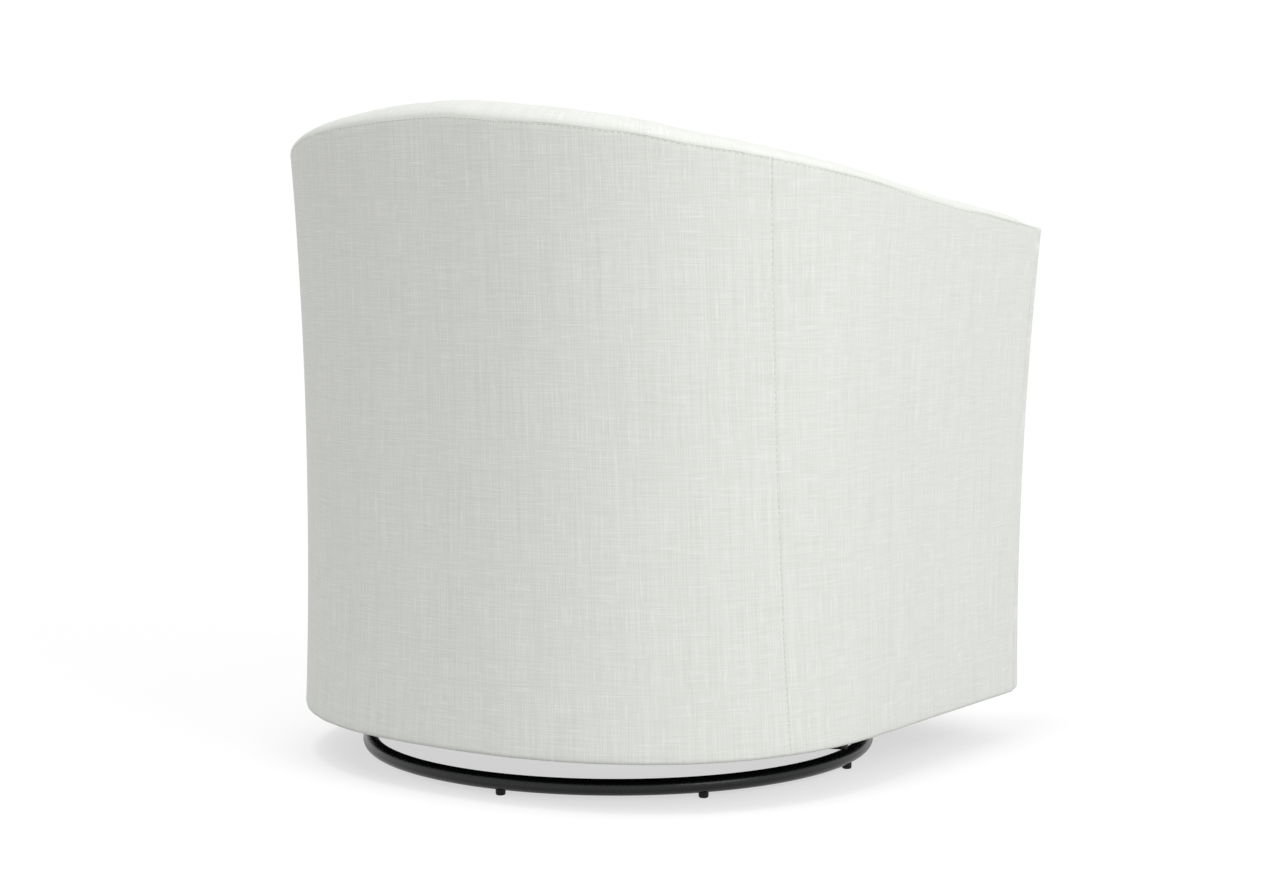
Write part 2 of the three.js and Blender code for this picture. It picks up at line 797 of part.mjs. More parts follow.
function buildRimPad() {
  const rings = allStations.map((station) => {
    const seam = rimHeight(station);
    const crown = crownAt(station);
    const insets = rimInsetShares.map((share) => share * wallThickness);
    const top = insets.map((inset, i) => {
      return wallPoint(station, inset, seam + gap + crown * rimCrownShares[i]);
    });
    const bottom = insets.map((inset) => wallPoint(station, inset, seam));
    return [...top, ...bottom.reverse()];
  });
  addPiece(seat, 'rim_pad', loftRails(rings), linen);
}

// Arm facings: the padded front ends of the two arms

function frontFaceY(z, reach) {
  const rise = (z - barrelBottom) / (frontRimHeight - barrelBottom);
  return -sideLength - reach - forwardAt(rise);
}

function buildFacing(name, side) {
  const rings = [];
  const top = frontRimHeight + frontCrown;
  for (let i = 0; i <= levelCount; i++) {
    const z = THREE.MathUtils.lerp(barrelBottom, top, i / levelCount);
    const outer = wallPoint(2, 0, z).x;
    const inner = outer - wallThickness;
    const back = frontFaceY(z, gap);
    const front = frontFaceY(z, gap + facingThickness);
    const shoulder = front + facingCorner;
    const near = front + facingChamfer;
    const frontRail = [
      [outer, shoulder],
      [outer - facingChamfer, near],
      [outer - facingCorner, front],
      [inner + facingCorner, front],
      [inner + facingChamfer, near],
      [inner, shoulder],
    ];
    const step = (outer - inner) / (frontRail.length - 1);
    const backRail = frontRail.map((point, k) => [inner + k * step, back]);
    const ring = [...frontRail, ...backRail];
    rings.push(ring.map(([x, y]) => new THREE.Vector3(side * x, y, z)));
  }
  addPiece(seat, name, loftRails(rings), linen);
}

function buildApron() {
  const rings = [];
  for (let i = 0; i <= apronRows; i++) {
    const z = THREE.MathUtils.lerp(barrelBottom, deckTop - gap, i / apronRows);
    const half = wallPoint(2, wallThickness, z).x - wallGap;
    const back = frontFaceY(z, gap);
    const front = [];
    const rear = [];
    const face = frontFaceY(z, gap + apronThickness);
    for (let k = 0; k <= apronColumns; k++) {
      const x = THREE.MathUtils.lerp(-half, half, k / apronColumns);
      front.push(new THREE.Vector3(x, face - apronCrown * bow(k / apronColumns), z));
      rear.push(new THREE.Vector3(x, back, z));
    }
    rings.push([...front, ...rear.reverse()]);
  }
  addPiece(seat, 'front_apron', loftRails(rings), linen);
}

// Seat cushion: a crowned pad with rounded edges, its front corners proud of its drawn-in sides

function cushionOutline() {
  const z = deckTop;
  const inset = (s) => innerInset(s, z) + cushionClearance;
  const half = wallPoint(1, inset(1), z).x;
  const front = frontFaceY(z, facingThickness - apronCrown);
  const corner = { x: half - cushionCorner, y: front + cushionCorner };
  const points = [];
  for (let k = 0; k < cushionFrontColumns; k++) {
    const share = (k + 1 / 2) / cushionFrontColumns;
    points.push([share * corner.x, front + cushionDrawIn * (1 - share ** 2)]);
  }
  for (let k = 0; k <= cushionCornerColumns; k++) {
    const turn = k / cushionCornerColumns * Math.PI / 2;
    points.push([corner.x + cushionCorner * Math.sin(turn), corner.y - cushionCorner * Math.cos(turn)]);
  }
  for (let k = 1; k < cushionSideColumns; k++) {
    const share = k / cushionSideColumns;
    points.push([half - cushionDrawIn * Math.sin(share * Math.PI), corner.y * (1 - share)]);
  }
  const curved = rightHalf.filter((s) => s < 1 && s > 0).reverse();
  for (const station of curved) {
    const point = wallPoint(station, inset(station), z);
    points.push([Math.min(point.x, half), point.y]);
  }
  const left = points.map(([x, y]) => [-x, y]).reverse();
  return [...points, ...left];
}

// The rings of the cushion, each how far in it lies from the outline and its height.
function cushionRings(low, high) {
  const lower = cushionInShares.map((share, i) => {
    return [share * cushionEdge, low + cushionUpShares[i] * cushionEdge];
  });
  const upper = lower.map(([inset, z]) => [inset, low + high - z]).reverse();
  const crown = crownInShares.map((share, i) => {
    return [share * cushionEdge, high + crownUpShares[i] * cushionCrown];
  });
  return [...lower, ...upper, ...crown];
}

function buildCushion() {
  const outline = cushionOutline();
  const low = deckTop + gap;
  const high = low + cushionThickness - cushionCrown;
  const centreY = (outline[0][1] + outline[outline.length / 2 - 1][1]) / 2;
  const rings = cushionRings(low, high).map(([inset, z]) => outline.map(([x, y]) => {
    const keep = 1 - inset / Math.hypot(x, y - centreY);
    return new THREE.Vector3(x * keep, centreY + (y - centreY) * keep, z);
  }));
  const bottomPole = new THREE.Vector3(0, centreY, low);
  const topPole = new THREE.Vector3(0, centreY, high + cushionCrown);
  addPiece(seat, 'seat_cushion', loftPoles(rings, bottomPole, topPole), linen);
}

// Base body
buildRing();
buildCrossbar('crossbar_rear', 1);
buildCrossbar('crossbar_front', -1);
glideAngles().forEach((angle, i) => buildGlide(i + 1, angle));
buildLowerPlate();
buildKingPin();
buildLowerBolts();

// Ball cage
buildBallCage();

// Seat body
buildUpperPlate();
buildUpperBolts();
buildMountingRail('mounting_rail_rear', 1);
buildMountingRail('mounting_rail_front', -1);
buildBottomFrame();
for (const [name, side] of sides) {
  const frontRibStation = 2 - stationShift(2, ribThickness);
  buildRib(`back_rib_${name}`, side * backRibShare);
  buildRib(`side_rib_${name}`, side * sideSeamShare);
  buildRib(`front_rib_${name}`, side * frontRibStation);
  buildTopRail(`top_rail_${name}`, mirrored(innerSeamShare, 2, side));
}
buildTopRail('top_rail_back', stationsBetween(-innerSeamShare, innerSeamShare));
buildSeatRails();
for (let number = 1; number <= springCount; number++) buildSpring(number);
buildDeck();
buildDustCover();
buildLiner();
buildOutsideCover('outside_back', stationsBetween(-sideSeamShare, sideSeamShare));
for (const [name, side] of sides) {
  buildOutsideCover(`outside_side_${name}`, mirrored(sideSeamShare, frontSeamStation, side));
  buildOutsideCover(`outside_front_${name}`, mirrored(frontSeamStation, 2, side));
  buildInsidePad(`inside_arm_${name}`, mirrored(innerSeamShare, 2, side));
  buildFacing(`arm_facing_${name}`, side);
}
buildInsidePad('inside_back', stationsBetween(-innerSeamShare, innerSeamShare));
buildRimPad();
buildApron();
buildCushion();

export default chair;
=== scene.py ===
"""Upholstered swivel barrel chair in ivory slubbed linen, on a black tubular ring.

Metres, +Z up, floor at z = 0, swivel axis on the Z axis, the sitter faces -Y. The wall of the barrel
is described by stations: 0 at the middle of the back, 1 where the side turns straight beside the
axis, 2 at the front, and negative on the sitter's right, towards -X.
"""

import json
import logging
import math
from collections.abc import Callable, Sequence
from dataclasses import dataclass
from enum import Enum

import bmesh
import bpy
from mathutils import Matrix, Vector, noise
from mathutils import Euler, Matrix, Vector, noise


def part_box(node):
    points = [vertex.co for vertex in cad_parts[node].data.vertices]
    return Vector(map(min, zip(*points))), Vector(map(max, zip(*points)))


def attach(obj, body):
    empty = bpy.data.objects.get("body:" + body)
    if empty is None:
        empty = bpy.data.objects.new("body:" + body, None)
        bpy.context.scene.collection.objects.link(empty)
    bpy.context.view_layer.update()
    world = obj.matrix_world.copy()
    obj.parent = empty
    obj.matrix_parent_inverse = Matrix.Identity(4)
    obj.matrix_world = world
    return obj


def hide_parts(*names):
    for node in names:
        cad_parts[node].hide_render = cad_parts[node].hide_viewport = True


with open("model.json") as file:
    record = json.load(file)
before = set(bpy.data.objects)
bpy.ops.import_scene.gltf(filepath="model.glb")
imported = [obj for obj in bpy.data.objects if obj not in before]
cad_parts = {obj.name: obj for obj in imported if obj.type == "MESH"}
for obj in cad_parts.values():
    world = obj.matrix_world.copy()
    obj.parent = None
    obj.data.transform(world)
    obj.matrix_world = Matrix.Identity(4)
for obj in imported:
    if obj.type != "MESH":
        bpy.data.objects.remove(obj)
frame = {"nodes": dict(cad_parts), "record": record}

log = logging.getLogger("barrel_chair")

MM = 0.001
CLOTH_UV = "cloth"
SIDES = {"left": 1, "right": -1}
MERGE_DISTANCE = 0.001 * MM
# Faces that meet at less than the flat angle are made one. Edges sharper than the hard angle are
# rounded or shade hard, and on the linen panels those sharper than the panel angle.
FLAT_ANGLE = math.radians(1)
HARD_ANGLE = math.radians(35)
PANEL_ANGLE = math.radians(60)
# Where the points of a rolled edge lie, as shares of the roll's width.
ROLL_SHARES = (0, 0.06, 0.22, 0.5, 1)


class Body(Enum):
    """The bodies that the pieces ride on."""

    BASE = "base"
    BEARING = "bearing"
    SEAT = "seat"


class Slot(Enum):
    """The material slots of the record."""

    BASE_STEEL = "base_steel"
    GLIDE_PLASTIC = "glide_plastic"
    ZINC_STEEL = "zinc_steel"
    SPRING_STEEL = "spring_steel"
    FRAME_TIMBER = "frame_timber"
    LINER_BOARD = "liner_board"
    DECK_CLOTH = "deck_cloth"
    DUST_CLOTH = "dust_cloth"
    LINEN_CLOTH = "linen_cloth"


# Shader helpers


def linear(hex_colour: str) -> tuple[float, float, float, float]:
    """Turn an sRGB hex colour into linear RGBA.

    Args:
        hex_colour: Six hex digits, such as "f1f2ec".

    Returns:
        Linear red, green and blue, and an alpha of 1.
    """
    shares = [int(hex_colour[i:i + 2], 16) / 255 for i in (0, 2, 4)]
    red, green, blue = (s / 12.92 if s <= 0.04045 else ((s + 0.055) / 1.055) ** 2.4 for s in shares)
    return (red, green, blue, 1.0)


def add_node(tree: bpy.types.NodeTree, kind: str, inputs: dict | None = None,
             **settings: object) -> bpy.types.Node:
    """Add a shader node with its settings, its values and its links.

    Args:
        tree: The node tree that gets the node.
        kind: The node's type, such as "ShaderNodeBump".
        inputs: By name or number, a value, a socket to link, or a node whose first output is linked.
        **settings: The node's own settings.

    Returns:
        The new node.
    """
    node = tree.nodes.new(kind)
    for name, value in settings.items():
        setattr(node, name, value)
    for name, value in (inputs or {}).items():
        if isinstance(value, bpy.types.Node):
            value = value.outputs[0]
        if isinstance(value, bpy.types.NodeSocket):
            tree.links.new(value, node.inputs[name])
        else:
            node.inputs[name].default_value = value
    return node


def new_material(name: str) -> tuple[bpy.types.Material, bpy.types.NodeTree]:
    """Make an empty node material and return it with its node tree."""
    material = bpy.data.materials.new(name)
    material.use_nodes = True
    material.node_tree.nodes.clear()
    return material, material.node_tree


def marks(tree: bpy.types.NodeTree, place: bpy.types.NodeSocket, size: Sequence[float],
          span: tuple[float, float] = (0.35, 0.65), detail: float = 2.0) -> bpy.types.NodeSocket:
    """Draw a finish's uneven marks, each about as large as a size in metres.

    Args:
        tree: The node tree.
        place: The coordinates, in metres.
        size: The length of one mark along x, y and z.
        span: The noise values that become 0 and 1.
        detail: How broken up the marks are.

    Returns:
        A socket from 0 to 1.
    """
    scale = tuple(1 / length for length in size)
    mapping = add_node(tree, "ShaderNodeMapping", {"Vector": place, "Scale": scale})
    noise_inputs = {"Vector": mapping, "Scale": 1.0, "Detail": detail, "Roughness": 0.5}
    uneven = add_node(tree, "ShaderNodeTexNoise", noise_inputs, noise_dimensions="3D")
    return add_node(tree, "ShaderNodeMapRange", {0: uneven, 1: span[0], 2: span[1]}).outputs[0]


# Finishes


@dataclass(frozen=True)
class SlubbedLinen:
    """Plain-woven linen-look polyester. Uneven yarns leave long streaks and pale slubs both ways."""

    name: str = "slubbed_linen"
    yarn: str = "f2f4ef"
    # Painted shade: the hollow colour is the shade that falls in the hollows between the yarns, not a
    # colour of the cloth.
    hollow_shade: str = "e2e4de"
    slub: str = "fbfcf9"
    # The real yarns lie about 0.7 mm apart, too fine to show, so they are drawn 1.7 mm apart.
    yarn_width: float = 1.7 * MM
    warp_length: float = 130 * MM
    weft_length: float = 48 * MM
    yarn_span: tuple[float, float] = (0.32, 0.68)
    weft_share: float = 0.44
    streak_width: float = 7 * MM
    streak_length: float = 340 * MM
    streak_span: tuple[float, float] = (0.3, 0.7)
    bar_share: float = 0.35
    tone_share: float = 0.3
    slub_width: float = 2.0 * MM
    slub_length: float = 34 * MM
    warp_slub_span: tuple[float, float] = (0.55, 0.75)
    weft_slub_span: tuple[float, float] = (0.57, 0.77)
    slub_tone: float = 0.6
    slub_height: float = 0.5
    roughness: float = 0.88
    specular: float = 0.25
    sheen: float = 0.2
    sheen_roughness: float = 0.6
    relief: float = 0.45 * MM
    relief_strength: float = 0.4

    def build(self) -> bpy.types.Material:
        """Make the material, on the pieces' cloth coordinates."""
        material, tree = new_material(self.name)
        cloth = add_node(tree, "ShaderNodeUVMap", uv_map=CLOTH_UV).outputs[0]
        fine, broad = self.yarn_width, self.streak_width
        long, short = self.slub_length, self.slub_width
        warp = marks(tree, cloth, (fine, self.warp_length, 1), self.yarn_span, detail=1.0)
        weft = marks(tree, cloth, (self.weft_length, fine, 1), self.yarn_span, detail=1.0)
        streaks = marks(tree, cloth, (broad, self.streak_length, 1), self.streak_span)
        bars = marks(tree, cloth, (self.streak_length / 2, broad, 1), self.streak_span)
        warp_slub = marks(tree, cloth, (short, long, 1), self.warp_slub_span, detail=1.5)
        weft_slub = marks(tree, cloth, (long, short, 1), self.weft_slub_span, detail=1.5)
        yarns = add_node(tree, "ShaderNodeMix", {0: self.weft_share, 2: warp, 3: weft})
        tone = add_node(tree, "ShaderNodeMix", {0: self.bar_share, 2: streaks, 3: bars})
        yarn_shade_and_tone = add_node(tree, "ShaderNodeMix", {0: self.tone_share, 2: yarns, 3: tone})
        slubs = add_node(tree, "ShaderNodeMath", {0: warp_slub, 1: weft_slub}, operation="MAXIMUM")
        # The cloth's colour runs from the painted shade of the hollows to the yarn colour. It follows
        # the yarn pattern, which is painted shade, and the streaks and bars, which are real differences
        # of tone.
        body = add_node(tree, "ShaderNodeMix", {0: yarn_shade_and_tone, 6: linear(self.hollow_shade), 7: linear(self.yarn)},
                        data_type="RGBA")
        share = add_node(tree, "ShaderNodeMath", {0: slubs, 1: self.slub_tone}, operation="MULTIPLY")
        colour = add_node(tree, "ShaderNodeMix", {0: share, 6: body.outputs[2], 7: linear(self.slub)},
                          data_type="RGBA")
        height = add_node(tree, "ShaderNodeMath", {0: slubs, 1: self.slub_height, 2: yarns},
                          operation="MULTIPLY_ADD")
        bump = add_node(tree, "ShaderNodeBump", {
            "Height": height,
            "Distance": self.relief,
            "Strength": self.relief_strength,
        })
        surface = add_node(tree, "ShaderNodeBsdfPrincipled", {
            "Base Color": colour.outputs[2],
            "Roughness": self.roughness,
            "Normal": bump,
            "Sheen Weight": self.sheen,
            "Sheen Roughness": self.sheen_roughness,
            "Specular IOR Level": self.specular,
        })
        add_node(tree, "ShaderNodeOutputMaterial", {"Surface": surface})
        return material


@dataclass(frozen=True)
class TwoToneFinish:
    """A finish with two tones, fine marks in its relief and broad ones in its tone."""

    name: str
    light: str
    dark: str
    tone_size: tuple[float, float, float]
    relief_size: tuple[float, float, float]
    relief: float
    roughness: float
    metallic: float = 0.0
    specular: float = 0.5
    relief_span: tuple[float, float] = (0.3, 0.7)
    relief_strength: float = 0.5
    roughness_spread: float = 0.05

    def build(self) -> bpy.types.Material:
        """Make the material, on object coordinates."""
        material, tree = new_material(self.name)
        place = add_node(tree, "ShaderNodeTexCoord").outputs["Object"]
        tone = marks(tree, place, self.tone_size)
        fine = marks(tree, place, self.relief_size, self.relief_span)
        colour = add_node(tree, "ShaderNodeMix", {0: tone, 6: linear(self.light), 7: linear(self.dark)},
                          data_type="RGBA")
        smooth = self.roughness - self.roughness_spread
        dull = self.roughness + self.roughness_spread
        rough = add_node(tree, "ShaderNodeMapRange", {0: fine, 3: smooth, 4: dull})
        bump = add_node(tree, "ShaderNodeBump", {
            "Height": fine,
            "Distance": self.relief,
            "Strength": self.relief_strength,
        })
        surface = add_node(tree, "ShaderNodeBsdfPrincipled", {
            "Base Color": colour.outputs[2],
            "Metallic": self.metallic,
            "Roughness": rough,
            "Normal": bump,
            "Specular IOR Level": self.specular,
        })
        add_node(tree, "ShaderNodeOutputMaterial", {"Surface": surface})
        return material


def cubic(size: float) -> tuple[float, float, float]:
    """A size that is the same along all three axes."""
    return (size, size, size)


FINISHES: dict[Slot, TwoToneFinish | SlubbedLinen] = {
    # Powder coat flows out to a faint orange peel, so its highlights are soft and a little broken.
    Slot.BASE_STEEL: TwoToneFinish("black_powder_coat", "0a0d10", "06080a", cubic(60 * MM),
                                   cubic(1.6 * MM), 0.04 * MM, 0.27, specular=0.4),
    # Moulded nylon keeps the mould's eroded grain, so it looks dull.
    Slot.GLIDE_PLASTIC: TwoToneFinish("moulded_nylon", "101011", "0a0a0b", cubic(10 * MM),
                                      cubic(0.8 * MM), 0.08 * MM, 0.52, specular=0.25),
    # Zinc plating is bright but clouded, and the steel below it keeps faint drawing marks.
    Slot.ZINC_STEEL: TwoToneFinish("zinc_plate", "c3c5c6", "a3a5a5", cubic(18 * MM),
                                   (25 * MM, 0.7 * MM, 0.7 * MM), 0.04 * MM, 0.36, metallic=1.0),
    # Drawn spring wire is oiled and darker, with marks round it from the coiling rolls.
    Slot.SPRING_STEEL: TwoToneFinish("spring_wire", "77787a", "5b5c5e", cubic(9 * MM),
                                     cubic(1.0 * MM), 0.05 * MM, 0.42, metallic=1.0),
    # Sawn hardwood and plywood are open grained and unfinished; the grain runs along X.
    Slot.FRAME_TIMBER: TwoToneFinish("sawn_timber", "cdb083", "ab8b5b", (90 * MM, 3 * MM, 3 * MM),
                                     (1.2 * MM, 30 * MM, 30 * MM), 0.3 * MM, 0.75),
    # Pressed fibre board is a mat of short fibres, brown and dull.
    Slot.LINER_BOARD: TwoToneFinish("liner_board", "bfa67c", "9c8458", cubic(4 * MM),
                                    (6 * MM, 0.9 * MM, 0.9 * MM), 0.3 * MM, 0.9, specular=0.2),
    # Black deck cloth over felt has a soft nap, so it takes no highlight.
    Slot.DECK_CLOTH: TwoToneFinish("deck_cloth", "2b2b2d", "1b1b1c", (0.9 * MM, 7 * MM, 7 * MM),
                                   (7 * MM, 0.9 * MM, 0.9 * MM), 0.4 * MM, 0.95, specular=0.1),
    # Spun-bonded dust cloth is a thin mat of black fibres, so it looks dull and finely mottled.
    Slot.DUST_CLOTH: TwoToneFinish("dust_cloth", "232324", "131314", (0.8 * MM, 6 * MM, 6 * MM),
                                   (6 * MM, 0.8 * MM, 0.8 * MM), 0.2 * MM, 0.9, specular=0.15),
    Slot.LINEN_CLOTH: SlubbedLinen(),
}
# Heavy twisted polyester thread, a little more beige than the cloth, with the bands of its ply.
TWISTED_THREAD = TwoToneFinish("topstitch_thread", "dad7ca", "c6c2b3", cubic(1.2 * MM),
                               (0.8 * MM, 0.8 * MM, 0.4 * MM), 0.2 * MM, 0.6, specular=0.3)


class Wardrobe:
    """Every finish of the chair, each built once, and how the pieces are dressed in them."""

    def __init__(self) -> None:
        """Build the materials by slot, and the thread."""
        self.by_slot = {slot: finish.build() for slot, finish in FINISHES.items()}
        self.thread = TWISTED_THREAD.build()

    def dress_frame(self) -> None:
        """Give every CAD node the finish of its slot."""
        for subpart in frame["record"]["subparts"]:
            node = frame["nodes"][subpart["node"]]
            finish = self.by_slot[Slot(subpart["material_slot"])]
            node.data.materials.clear()
            node.data.materials.append(finish)

    def dress(self, piece: bpy.types.Object, body: Body, slot: Slot | None = None,
              replaces: Sequence[str] = (), angle: float | None = None) -> bpy.types.Object:
        """Give a piece its finish, shade it smooth, and let it ride on a body.

        Args:
            piece: The piece, with its final mesh.
            body: The body that it rides on.
            slot: The record's slot that it takes its finish from. Without one it is thread.
            replaces: The CAD nodes that it stands for.
            angle: Edges sharper than this stay hard, in radians.

        Returns:
            The same piece.
        """
        piece.data.materials.append(self.by_slot[slot] if slot else self.thread)
        piece.data.shade_smooth()
        if angle is not None:
            piece.data.set_sharp_from_angle(angle=angle)
        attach(piece, body.value)
        if replaces:
            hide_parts(*replaces)
        log.info("%s: %d faces", piece.name, len(piece.data.polygons))
        return piece


# Mesh helpers


def link_object(name: str, data: bpy.types.ID) -> bpy.types.Object:
    """Put an object with its data into the scene."""
    thing = bpy.data.objects.new(name, data)
    bpy.context.scene.collection.objects.link(thing)
    return thing


def new_piece(name: str, mesh: bmesh.types.BMesh) -> bpy.types.Object:
    """Put a bmesh into the scene as an object, and free it."""
    data = bpy.data.meshes.new(name)
    mesh.to_mesh(data)
    mesh.free()
    return link_object(name, data)


def cad_copy(node: str) -> bmesh.types.BMesh:
    """Copy a CAD node's solid, with the corners of its faces joined."""
    mesh = bmesh.new()
    mesh.from_mesh(frame["nodes"][node].data)
    bmesh.ops.remove_doubles(mesh, verts=mesh.verts, dist=MERGE_DISTANCE)
    return mesh


def merge_flat_faces(mesh: bmesh.types.BMesh) -> None:
    """Make neighbouring faces that lie flat one face."""
    bmesh.ops.dissolve_limit(mesh, angle_limit=FLAT_ANGLE, verts=mesh.verts, edges=mesh.edges)


def round_edges(mesh: bmesh.types.BMesh, radius: float, segments: int) -> None:
    """Round a solid's hard edges to a radius."""
    hard = [edge for edge in mesh.edges if edge.calc_face_angle(0) > HARD_ANGLE]
    bmesh.ops.bevel(mesh, geom=hard, offset=radius, segments=segments, profile=0.5, affect="EDGES",
                    material=-1, clamp_overlap=True)


def swept_solid(rings: Sequence[Sequence[Vector]],
                cloth: Callable[[int, int, Vector], tuple[float, float]]) -> bmesh.types.BMesh:
    """Sweep a closed section along a row of rings and close both ends.

    Args:
        rings: The sections, each a closed loop of as many points.
        cloth: Gives the cloth coordinates, in metres, of a ring's number, a point's number and
            that point's place.

    Returns:
        The closed solid, its faces pointing out, with cloth coordinates.
    """
    size = len(rings[0])
    mesh = bmesh.new()
    grid = bmesh.ops.create_grid(mesh, x_segments=len(rings) - 1, y_segments=size, size=1)["verts"]
    steps = {}
    for vert in grid:
        ring = round((vert.co.x + 1) / 2 * (len(rings) - 1))
        point = round((vert.co.y + 1) / 2 * size)
        steps[vert] = (ring, point, rings[ring][point % size])
    layer = mesh.loops.layers.uv.new(CLOTH_UV)
    for face in mesh.faces:
        for loop in face.loops:
            loop[layer].uv = cloth(*steps[loop.vert])
    for vert, (_, _, place) in steps.items():
        vert.co = place
    bmesh.ops.remove_doubles(mesh, verts=mesh.verts, dist=MERGE_DISTANCE)
    rims = [edge for edge in mesh.edges if edge.is_boundary]
    caps = bmesh.ops.holes_fill(mesh, edges=rims, sides=0)["faces"]
    for face in caps:
        for loop in face.loops:
            loop[layer].uv = (loop.vert.co.x + loop.vert.co.y, loop.vert.co.z)
    bmesh.ops.triangulate(mesh, faces=caps)
    bmesh.ops.recalc_face_normals(mesh, faces=mesh.faces)
    return mesh


def turn_round(mesh: bmesh.types.BMesh, steps: int) -> None:
    """Turn a bmesh's profile right round the Z axis into a solid, its faces pointing out."""
    bmesh.ops.spin(mesh, geom=[*mesh.verts, *mesh.edges], cent=(0, 0, 0), axis=(0, 0, 1),
                   angle=2 * math.pi, steps=steps, use_merge=True)
    bmesh.ops.remove_doubles(mesh, verts=mesh.verts, dist=MERGE_DISTANCE)
    bmesh.ops.recalc_face_normals(mesh, faces=mesh.faces)


def shape_by(piece: bpy.types.Object, kind: str, **settings: object) -> None:
    """Add a modifier with its settings, and keep what it makes of a piece's mesh."""
    modifier = piece.modifiers.new("shape", kind)
    for name, value in settings.items():
        setattr(modifier, name, value)
    apply_modifiers(piece)


def apply_modifiers(piece: bpy.types.Object) -> None:
    """Replace a piece's mesh by what its modifiers make of it."""
    evaluated = piece.evaluated_get(bpy.context.evaluated_depsgraph_get())
    data = bpy.data.meshes.new_from_object(evaluated)
    piece.modifiers.clear()
    old = piece.data
    piece.data = data
    bpy.data.meshes.remove(old)


# Curves and waves


def clamped(value: float, low: float = 0.0, high: float = 1.0) -> float:
    """A value held between two bounds."""
    return max(low, min(high, value))


def eased(share: float) -> float:
    """A share from 0 to 1 that starts and ends level."""
    share = clamped(share)
    return share * share * (3 - 2 * share)


def arch(share: float) -> float:
    """The height at a share of its span of an arch that is 1 high in the middle."""
    return 4 * share * (1 - share)


def even(start: float, end: float, steps: int) -> list[float]:
    """Places from start to end in so many even steps."""
    return [start + (end - start) * i / steps for i in range(steps + 1)]


def packed(start: float, end: float, count: int, roll: float,
           last_roll: float | None = None) -> list[float]:
    """Places from start to end, closer where the cloth rolls over at both ends.

    Args:
        start: The first place.
        end: The last place.
        count: The number of even steps between the rolls.
        roll: The width of the roll at the start.
        last_roll: The width of the roll at the end, where it differs.

    Returns:
        The places in order.
    """
    last_roll = roll if last_roll is None else last_roll
    first = [start + roll * share for share in ROLL_SHARES]
    last = [end - last_roll * share for share in reversed(ROLL_SHARES)]
    return [*first, *even(start + roll, end - last_roll, count)[1:-1], *last]


def quarter_turn(steps: int) -> list[tuple[float, float]]:
    """The points of a rounded edge of radius 1, by how far they lie in from its two faces.

    Args:
        steps: The number of steps from the first face, where the second share is 1, to the second.

    Returns:
        The two shares of each point.
    """
    return [(1 - math.cos(turn), 1 - math.sin(turn)) for turn in even(0, math.pi / 2, steps)]


def rolled(distance: float, roll: float) -> float:
    """How far a cloth that rolls over an edge has turned in, at a distance from that edge."""
    if distance >= roll:
        return 0.0
    return roll - math.sqrt(max(0.0, roll * roll - (roll - distance) ** 2))


def dent(distance: float, half_width: float) -> float:
    """The depth share of a stitched valley at a distance from its line."""
    share = abs(distance) / half_width
    return (1 - share * share) ** 2 if share < 1 else 0.0


@dataclass(frozen=True)
class Waves:
    """Smooth unevenness, with its depth and its wavelengths along three directions in metres.

    Where the third is left out, the seed alone picks the waves.
    """

    depth: float
    first: float
    second: float
    seed: float = 0.0
    third: float = 1.0

    def at(self, x: float, y: float, z: float = 0.0) -> float:
        """How far the surface strays at a place, up to about the depth either way."""
        place = (x / self.first, y / self.second, z / self.third + self.seed)
        return self.depth * noise.noise(Vector(place))


# Barrel


